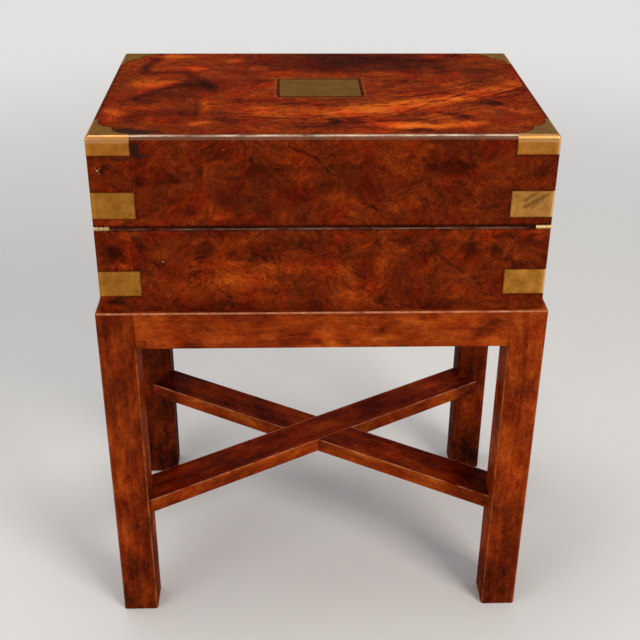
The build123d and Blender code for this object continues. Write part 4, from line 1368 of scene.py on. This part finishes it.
def meshed(shape: bmesh.types.BMesh, name: str, material: bpy.types.Material) -> bpy.types.Object:
    """Turn a shape into an object with a finish, and free the shape.

    Args:
        shape: The shape.
        name: The object's name.
        material: Its finish.

    Returns:
        The object.
    """
    mesh = bpy.data.meshes.new(name)
    shape.to_mesh(mesh)
    shape.free()
    mesh.materials.append(material)
    return set_up(name, mesh)


def finish_piece(source: bpy.types.Object, name: str, body: str) -> None:
    """Turn an object with live modifiers into a plain mesh that rides on a body.

    Args:
        source: The object, which is removed.
        name: The name of the finished piece.
        body: The body that it rides on.
    """
    graph = bpy.context.evaluated_depsgraph_get()
    mesh = bpy.data.meshes.new_from_object(source.evaluated_get(graph), depsgraph=graph)
    bpy.data.objects.remove(source)
    mesh.name = name
    piece = set_up(name, mesh)
    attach(piece, body)
    log.info("%s has %d faces and rides on %s", name, len(mesh.polygons), body)


class GeometryTree(NodeTree):
    """A Geometry Nodes tree that is built node by node and then run on an empty mesh."""

    def __init__(self, name: str, inputs: dict[str, float | Triple]) -> None:
        """Make the tree.

        Args:
            name: The name of the tree and of the piece that it makes.
            inputs: Its sizes, by name.
        """
        super().__init__(bpy.data.node_groups.new(name, "GeometryNodeTree"))
        self.values = inputs
        self.tree.interface.new_socket("Geometry", in_out="OUTPUT", socket_type="NodeSocketGeometry")
        kinds = {tuple: "NodeSocketVector", int: "NodeSocketInt", float: "NodeSocketFloat"}
        for key, value in inputs.items():
            self.tree.interface.new_socket(key, in_out="INPUT", socket_type=kinds[type(value)])
        self.sizes = self.tree.nodes.new("NodeGroupInput").outputs

    def node(self, kind: str, inputs: dict, **settings: str) -> bpy.types.NodeSocket:
        """Add one geometry node, named without its prefix, and take its first output."""
        return self.add("GeometryNode" + kind, inputs, **settings).outputs[0]

    def run(self, geometry: bpy.types.NodeSocket, material: bpy.types.Material, body: str, slot: str) -> None:
        """Close the tree and make its piece, as a plain mesh.

        Args:
            geometry: What the tree has made.
            material: The piece's finish.
            body: The body that it rides on.
            slot: The name of a material slot in the record; not used.
        """
        name = self.tree.name
        real = self.node("RealizeInstances", {0: geometry})
        painted = self.node("SetMaterial", {"Geometry": real, "Material": material})
        self.add("NodeGroupOutput", {0: painted})
        holder = set_up(f"{name}_source", bpy.data.meshes.new(f"{name}_source"))
        holder.data.materials.append(material)
        modifier = holder.modifiers.new("tree", "NODES")
        modifier.node_group = self.tree
        for item in self.tree.interface.items_tree:
            if item.in_out == "INPUT":
                modifier[item.identifier] = self.values[item.name]
        finish_piece(holder, name, body)


@dataclass
class FlapLeather:
    """The leather of one writing flap, with a gilt border pressed into it."""

    flap: str
    facing: int
    slope: float
    leather: bpy.types.Material
    gilding: bpy.types.Material
    board_thickness: float = 6.0
    wooden_border: float = 12.0
    tooling_inset: float = 7.0
    line_width: float = 0.7
    line_gap: float = 3.4
    stamp_radius: float = 1.15
    stamp_pitch: float = 3.4
    stamp_points: int = 4
    stamp_waist: float = 0.42
    lift: float = 0.06

    def _field(self) -> tuple[float, float, Matrix]:
        """The leather's width and length, and the placing of its middle in metres.

        Returns:
            The width, the length, and the placing of the middle.
        """
        hinge = hinge_place(f"{self.flap}_hinge")
        low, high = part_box(f"{self.flap}_board")
        up_slope = Vector((0.0, math.cos(self.slope), math.sin(self.slope)))
        outward = self.facing * Vector((0.0, -math.sin(self.slope), math.cos(self.slope)))
        length = (high.y - hinge[1]) / math.cos(self.slope)
        middle = Vector(hinge) + up_slope * length / 2 + outward * self.board_thickness / 2 * MM
        turn = Matrix((up_slope.cross(outward), up_slope, outward)).transposed().to_4x4()
        border = 2 * self.wooden_border * MM
        return high.x - low.x - border, length - border, Matrix.Translation(middle) @ turn

    @staticmethod
    def _round(tree: GeometryTree, inset: float) -> bpy.types.NodeSocket:
        """A path round the leather, inset millimetres in from its edge.

        Args:
            tree: The tree of the border.
            inset: How far in from the leather's edge, in millimetres.

        Returns:
            The path.
        """
        sides = {}
        for side, size in (("Width", "Width"), ("Height", "Length")):
            less = tree.add("ShaderNodeMath", {0: tree.sizes[size], 1: 2 * inset * MM}, operation="SUBTRACT")
            sides[side] = less.outputs[0]
        return tree.node("CurvePrimitiveQuadrilateral", sides)

    def _frame_line(self, tree: GeometryTree, inset: float) -> bpy.types.NodeSocket:
        """A thin flat line round the leather.

        Args:
            tree: The tree of the border.
            inset: How far in from the leather's edge, in millimetres.

        Returns:
            The line.
        """
        across = {"Width": tree.sizes["Line Width"], "Height": tree.sizes["Lift"]}
        profile = tree.node("CurvePrimitiveQuadrilateral", across)
        return tree.node("CurveToMesh", {"Curve": self._round(tree, inset), "Profile Curve": profile})

    def _stamps(self, tree: GeometryTree, inset: float) -> bpy.types.NodeSocket:
        """A row of small four-pointed stamps round the leather.

        Args:
            tree: The tree of the border.
            inset: How far in from the leather's edge, in millimetres.

        Returns:
            The stamps.
        """
        path = {"Curve": self._round(tree, inset), "Length": tree.sizes["Pitch"]}
        points = tree.node("ResampleCurve", path, mode="LENGTH")
        waist = self.stamp_radius * self.stamp_waist * MM
        radii = {"Inner Radius": waist, "Outer Radius": tree.sizes["Stamp Radius"]}
        star = tree.node("CurveStar", {"Points": self.stamp_points, **radii})
        filled = tree.node("FillCurve", {0: star})
        solid = tree.node("ExtrudeMesh", {"Mesh": filled, "Offset Scale": self.lift * MM}, mode="FACES")
        return tree.node("InstanceOnPoints", {"Points": points, "Instance": solid})

    def build(self) -> None:
        """Dress the leather and press the gilt border into it."""
        dress(f"{self.flap}_leather", self.leather)
        width, length, place = self._field()
        sizes = {
            "Width": width,
            "Length": length,
            "Line Width": self.line_width * MM,
            "Lift": self.lift * MM,
            "Pitch": self.stamp_pitch * MM,
            "Stamp Radius": self.stamp_radius * MM,
            "Place": tuple(place.to_translation()),
            "Turn": tuple(place.to_euler()),
        }
        tree = GeometryTree(f"{self.flap}_tooling", sizes)
        insets = (self.tooling_inset - self.line_gap, self.tooling_inset + self.line_gap)
        parts = [*(self._frame_line(tree, inset) for inset in insets), self._stamps(tree, self.tooling_inset)]
        joined = tree.node("JoinGeometry", {0: parts})
        placing = {"Translation": tree.sizes["Place"], "Rotation": tree.sizes["Turn"]}
        moved = tree.node("Transform", {"Geometry": joined, **placing})
        tree.run(moved, self.gilding, self.flap, "flap_leather")


@dataclass
class Inkwell:
    """A square glass bottle with a turned and ribbed brass cap."""

    side: str
    glass: bpy.types.Material
    brass: bpy.types.Material
    rib_count: int = 44
    rib_radius: float = 0.7
    rib_sides: int = 8
    wall: float = 2.5
    rim: float = 1.2
    steps: int = 64
    merge: float = 0.02
    rib_margin: float = 3.8
    rib_drop: float = 0.35

    # How far the outline of the cap's skirt and crown lies in from its side and its ends, in rims.
    SKIRT = ((0.5, 0.0), (0.5, 1.0), (1.0, 1.5))
    CROWN = ((1.0, 2.2), (0.5, 1.8), (0.5, 1.2), (1.4, 0.5), (3.2, 0.4), (3.8, 0.7), (6.0, 0.2))
    CROWN_MIDDLE = 0.05

    def _profile(self, radius: float, low: float, high: float) -> list[tuple[float, float]]:
        """Radius and height, in metres, of the cap's outline from its inside to its crown.

        Args:
            radius: The cap's radius, in metres.
            low: The height of its foot.
            high: The height of its crown.

        Returns:
            The outline's points.
        """
        wall, rim = self.wall * MM, self.rim * MM
        inner = radius - wall
        return [
            (0.0, high - wall),
            (inner, high - wall),
            (inner, low),
            *((radius - inset * rim, low + rise * rim) for inset, rise in self.SKIRT),
            *((radius - inset * rim, high - drop * rim) for inset, drop in self.CROWN),
            (0.0, high - self.CROWN_MIDDLE * rim),
        ]

    def _ribs(self, node: str, middle: Vector, radius: float, low: float, high: float) -> None:
        """Stand the grip's ribs round the cap.

        Args:
            node: The cap's node.
            middle: The cap's middle, in metres.
            radius: The cap's radius, in metres.
            low: The height of its foot.
            high: The height of its crown.
        """
        rim = self.rim * MM
        sizes = {
            "Ribs": self.rib_count,
            "Ring Radius": radius - rim,
            "Rib Radius": self.rib_radius * MM,
            "Rib Height": high - low - self.rib_margin * rim,
            "Place": (middle.x, middle.y, (low + high) / 2 - self.rib_drop * rim),
        }
        tree = GeometryTree(f"{node}_ribs", sizes)
        ring = {"Resolution": tree.sizes["Ribs"], "Radius": tree.sizes["Ring Radius"]}
        circle = tree.node("CurvePrimitiveCircle", ring)
        points = tree.node("CurveToPoints", {"Curve": circle}, mode="EVALUATED")
        grip = {"Radius": tree.sizes["Rib Radius"], "Depth": tree.sizes["Rib Height"]}
        rib = tree.node("MeshCylinder", {"Vertices": self.rib_sides, **grip})
        placed = tree.node("InstanceOnPoints", {"Points": points, "Instance": rib})
        moved = tree.node("Transform", {"Geometry": placed, "Translation": tree.sizes["Place"]})
        tree.run(moved, self.brass, node, "cap_brass")

    def build(self) -> None:
        """Dress the bottle and turn its cap."""
        node = f"inkwell_cap_{self.side}"
        dress(f"inkwell_{self.side}", self.glass)
        low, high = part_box(node)
        middle = (low + high) / 2
        radius = (high.x - low.x) / 2
        shape = bmesh.new()
        corners = [shape.verts.new((r, 0.0, z)) for r, z in self._profile(radius, low.z, high.z)]
        edges = [shape.edges.new(pair) for pair in zip(corners, corners[1:])]
        bmesh.ops.spin(
            shape, geom=corners + edges, axis=(0, 0, 1), cent=(0, 0, 0), angle=2 * math.pi, steps=self.steps
        )
        bmesh.ops.remove_doubles(shape, verts=shape.verts, dist=self.merge * MM)
        bmesh.ops.recalc_face_normals(shape, faces=shape.faces)
        bmesh.ops.translate(shape, verts=shape.verts, vec=(middle.x, middle.y, 0.0))
        cap = meshed(shape, f"{node}_turned", self.brass)
        cap.data.shade_smooth()
        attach(cap, node)
        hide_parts(node)
        log.info("%s has %d faces", cap.name, len(cap.data.polygons))
        self._ribs(node, middle, radius, low.z, high.z)


# Floor, light and camera


@dataclass(frozen=True)
class Lamp:
    """A soft square lamp that looks at the box."""

    name: str
    place: Triple
    size: float
    power: float
    colour: Triple = (1.0, 1.0, 1.0)
    aim: Triple = (0.0, 0.0, 0.35)

    def build(self) -> None:
        """Hang the lamp."""
        light = bpy.data.lights.new(self.name, "AREA")
        light.shape = "SQUARE"
        light.size, light.energy, light.color = self.size, self.power, self.colour
        lamp = set_up(self.name, light)
        lamp.location = self.place
        lamp.rotation_euler = (Vector(self.aim) - Vector(self.place)).to_track_quat("-Z", "Y").to_euler()


@dataclass(frozen=True)
class Viewpoint:
    """Where the camera stands, in metres and degrees, and its focal length in picture widths."""

    place: Triple = (-0.03576, -1.12639, 0.91338)
    pitch: float = 28.45
    yaw: float = 1.93
    roll: float = 0.48
    focal_share: float = 1.6933

    def build(self) -> None:
        """Set up the camera."""
        pitch, yaw, roll = (math.radians(angle) for angle in (self.pitch, self.yaw, self.roll))
        ahead = Vector((math.sin(yaw) * math.cos(pitch), math.cos(yaw) * math.cos(pitch), -math.sin(pitch)))
        level = Vector((math.cos(yaw), -math.sin(yaw), 0.0))
        upright = level.cross(ahead)
        right = level * math.cos(roll) + upright * math.sin(roll)
        up = upright * math.cos(roll) - level * math.sin(roll)
        camera = set_up("camera", bpy.data.cameras.new("camera"))
        camera.data.lens = camera.data.sensor_width * self.focal_share
        turn = Matrix((right, up, -ahead)).transposed().to_4x4()
        camera.matrix_world = Matrix.Translation(self.place) @ turn
        bpy.context.scene.camera = camera


@dataclass
class Studio:
    """A plain pale floor that runs into a pale backdrop, under plain soft light."""

    floor_radius: float = 14.0
    floor_sides: int = 96
    floor_colour: Paint = paint(224, 222, 218)
    floor_light: Paint = paint(228, 226, 222)
    backdrop_colour: Paint = paint(226, 225, 223)
    near_floor: float = 700.0
    far_floor: float = 2600.0
    sky_colour: Paint = (0.93, 0.95, 1.0, 1.0)
    sky_strength: float = 0.46
    lamps: tuple[Lamp, ...] = (
        Lamp("key", (1.35, -1.75, 1.75), 0.9, 36.0, (1.0, 0.95, 0.88)),
        Lamp("overhead", (-0.25, 0.15, 2.1), 0.9, 12.0, (1.0, 0.97, 0.93), (0.0, 0.0, 0.5)),
        Lamp("fill", (-1.7, -1.6, 1.2), 1.2, 12.0),
    )

    @staticmethod
    def _seen(tree: ShaderTree) -> Value:
        """1 for rays that show the backdrop: straight to the camera, off metal and through glass.

        Args:
            tree: The material's tree.

        Returns:
            The share.
        """
        kinds = ("Camera", "Glossy", "Transmission")
        camera, glossy, through = (tree.node("LightPath", {}, f"Is {kind} Ray") for kind in kinds)
        return camera.most(glossy).most(through)

    def _floor_material(self) -> bpy.types.Material:
        """The floor's finish, which takes the backdrop's colour far from the stand.

        Returns:
            The material.
        """
        tree = ShaderTree("floor")
        light = tree.between(0.5 + tree.noise(tree.place, 900, 2.0), self.floor_colour, self.floor_light)
        near = tree.surface(Base_Color=light, Roughness=0.7, Specular_IOR_Level=0.2)
        far = tree.node("Emission", {"Color": self.backdrop_colour})
        share = tree.place.length().fade(self.near_floor, self.far_floor) * self._seen(tree)
        return tree.finished(tree.node("MixShader", {0: share, 1: near, 2: far}))

    def _sky(self) -> bpy.types.World:
        """The soft light from all round, which looks like the backdrop.

        Returns:
            The world.
        """
        world = bpy.data.worlds.new("sky")
        tree = ShaderTree("sky", world)
        light = tree.node("Background", {"Color": self.sky_colour, "Strength": self.sky_strength})
        backdrop = tree.node("Background", {"Color": self.backdrop_colour, "Strength": 1.0})
        mixed = tree.node("MixShader", {0: self._seen(tree), 1: light, 2: backdrop})
        tree.add("ShaderNodeOutputWorld", {"Surface": mixed})
        return world

    def build(self) -> None:
        """Lay the floor, set the sky and hang the lamps."""
        shape = bmesh.new()
        bmesh.ops.create_circle(shape, cap_ends=True, segments=self.floor_sides, radius=self.floor_radius)
        meshed(shape, "floor", self._floor_material())
        bpy.context.scene.world = self._sky()
        for lamp in self.lamps:
            lamp.build()
        bpy.context.scene.view_settings.view_transform = "Standard"


def main() -> None:
    """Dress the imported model, add its small detail and set up the studio."""
    logging.basicConfig(level=logging.INFO)
    layout = BoxLayout.from_frame()
    Stand().dress()
    Box(layout).dress()
    leather = TooledLeather("flap_leather").material()
    gilding = Gilding("flap_gilding").material()
    for flap, facing in (("upper_flap", 1), ("lower_flap", -1)):
        FlapLeather(flap, facing, layout.slope, leather, gilding).build()
    glass = BottleGlass("inkwell_glass").material()
    cap_brass = AgedBrass("cap_brass", paint(226, 172, 92), paint(140, 96, 42), 0.28).material()
    for side in ("left", "right"):
        Inkwell(side, glass, cap_brass).build()
    Studio().build()
    Viewpoint().build()


if __name__ == "__main__":
    main()
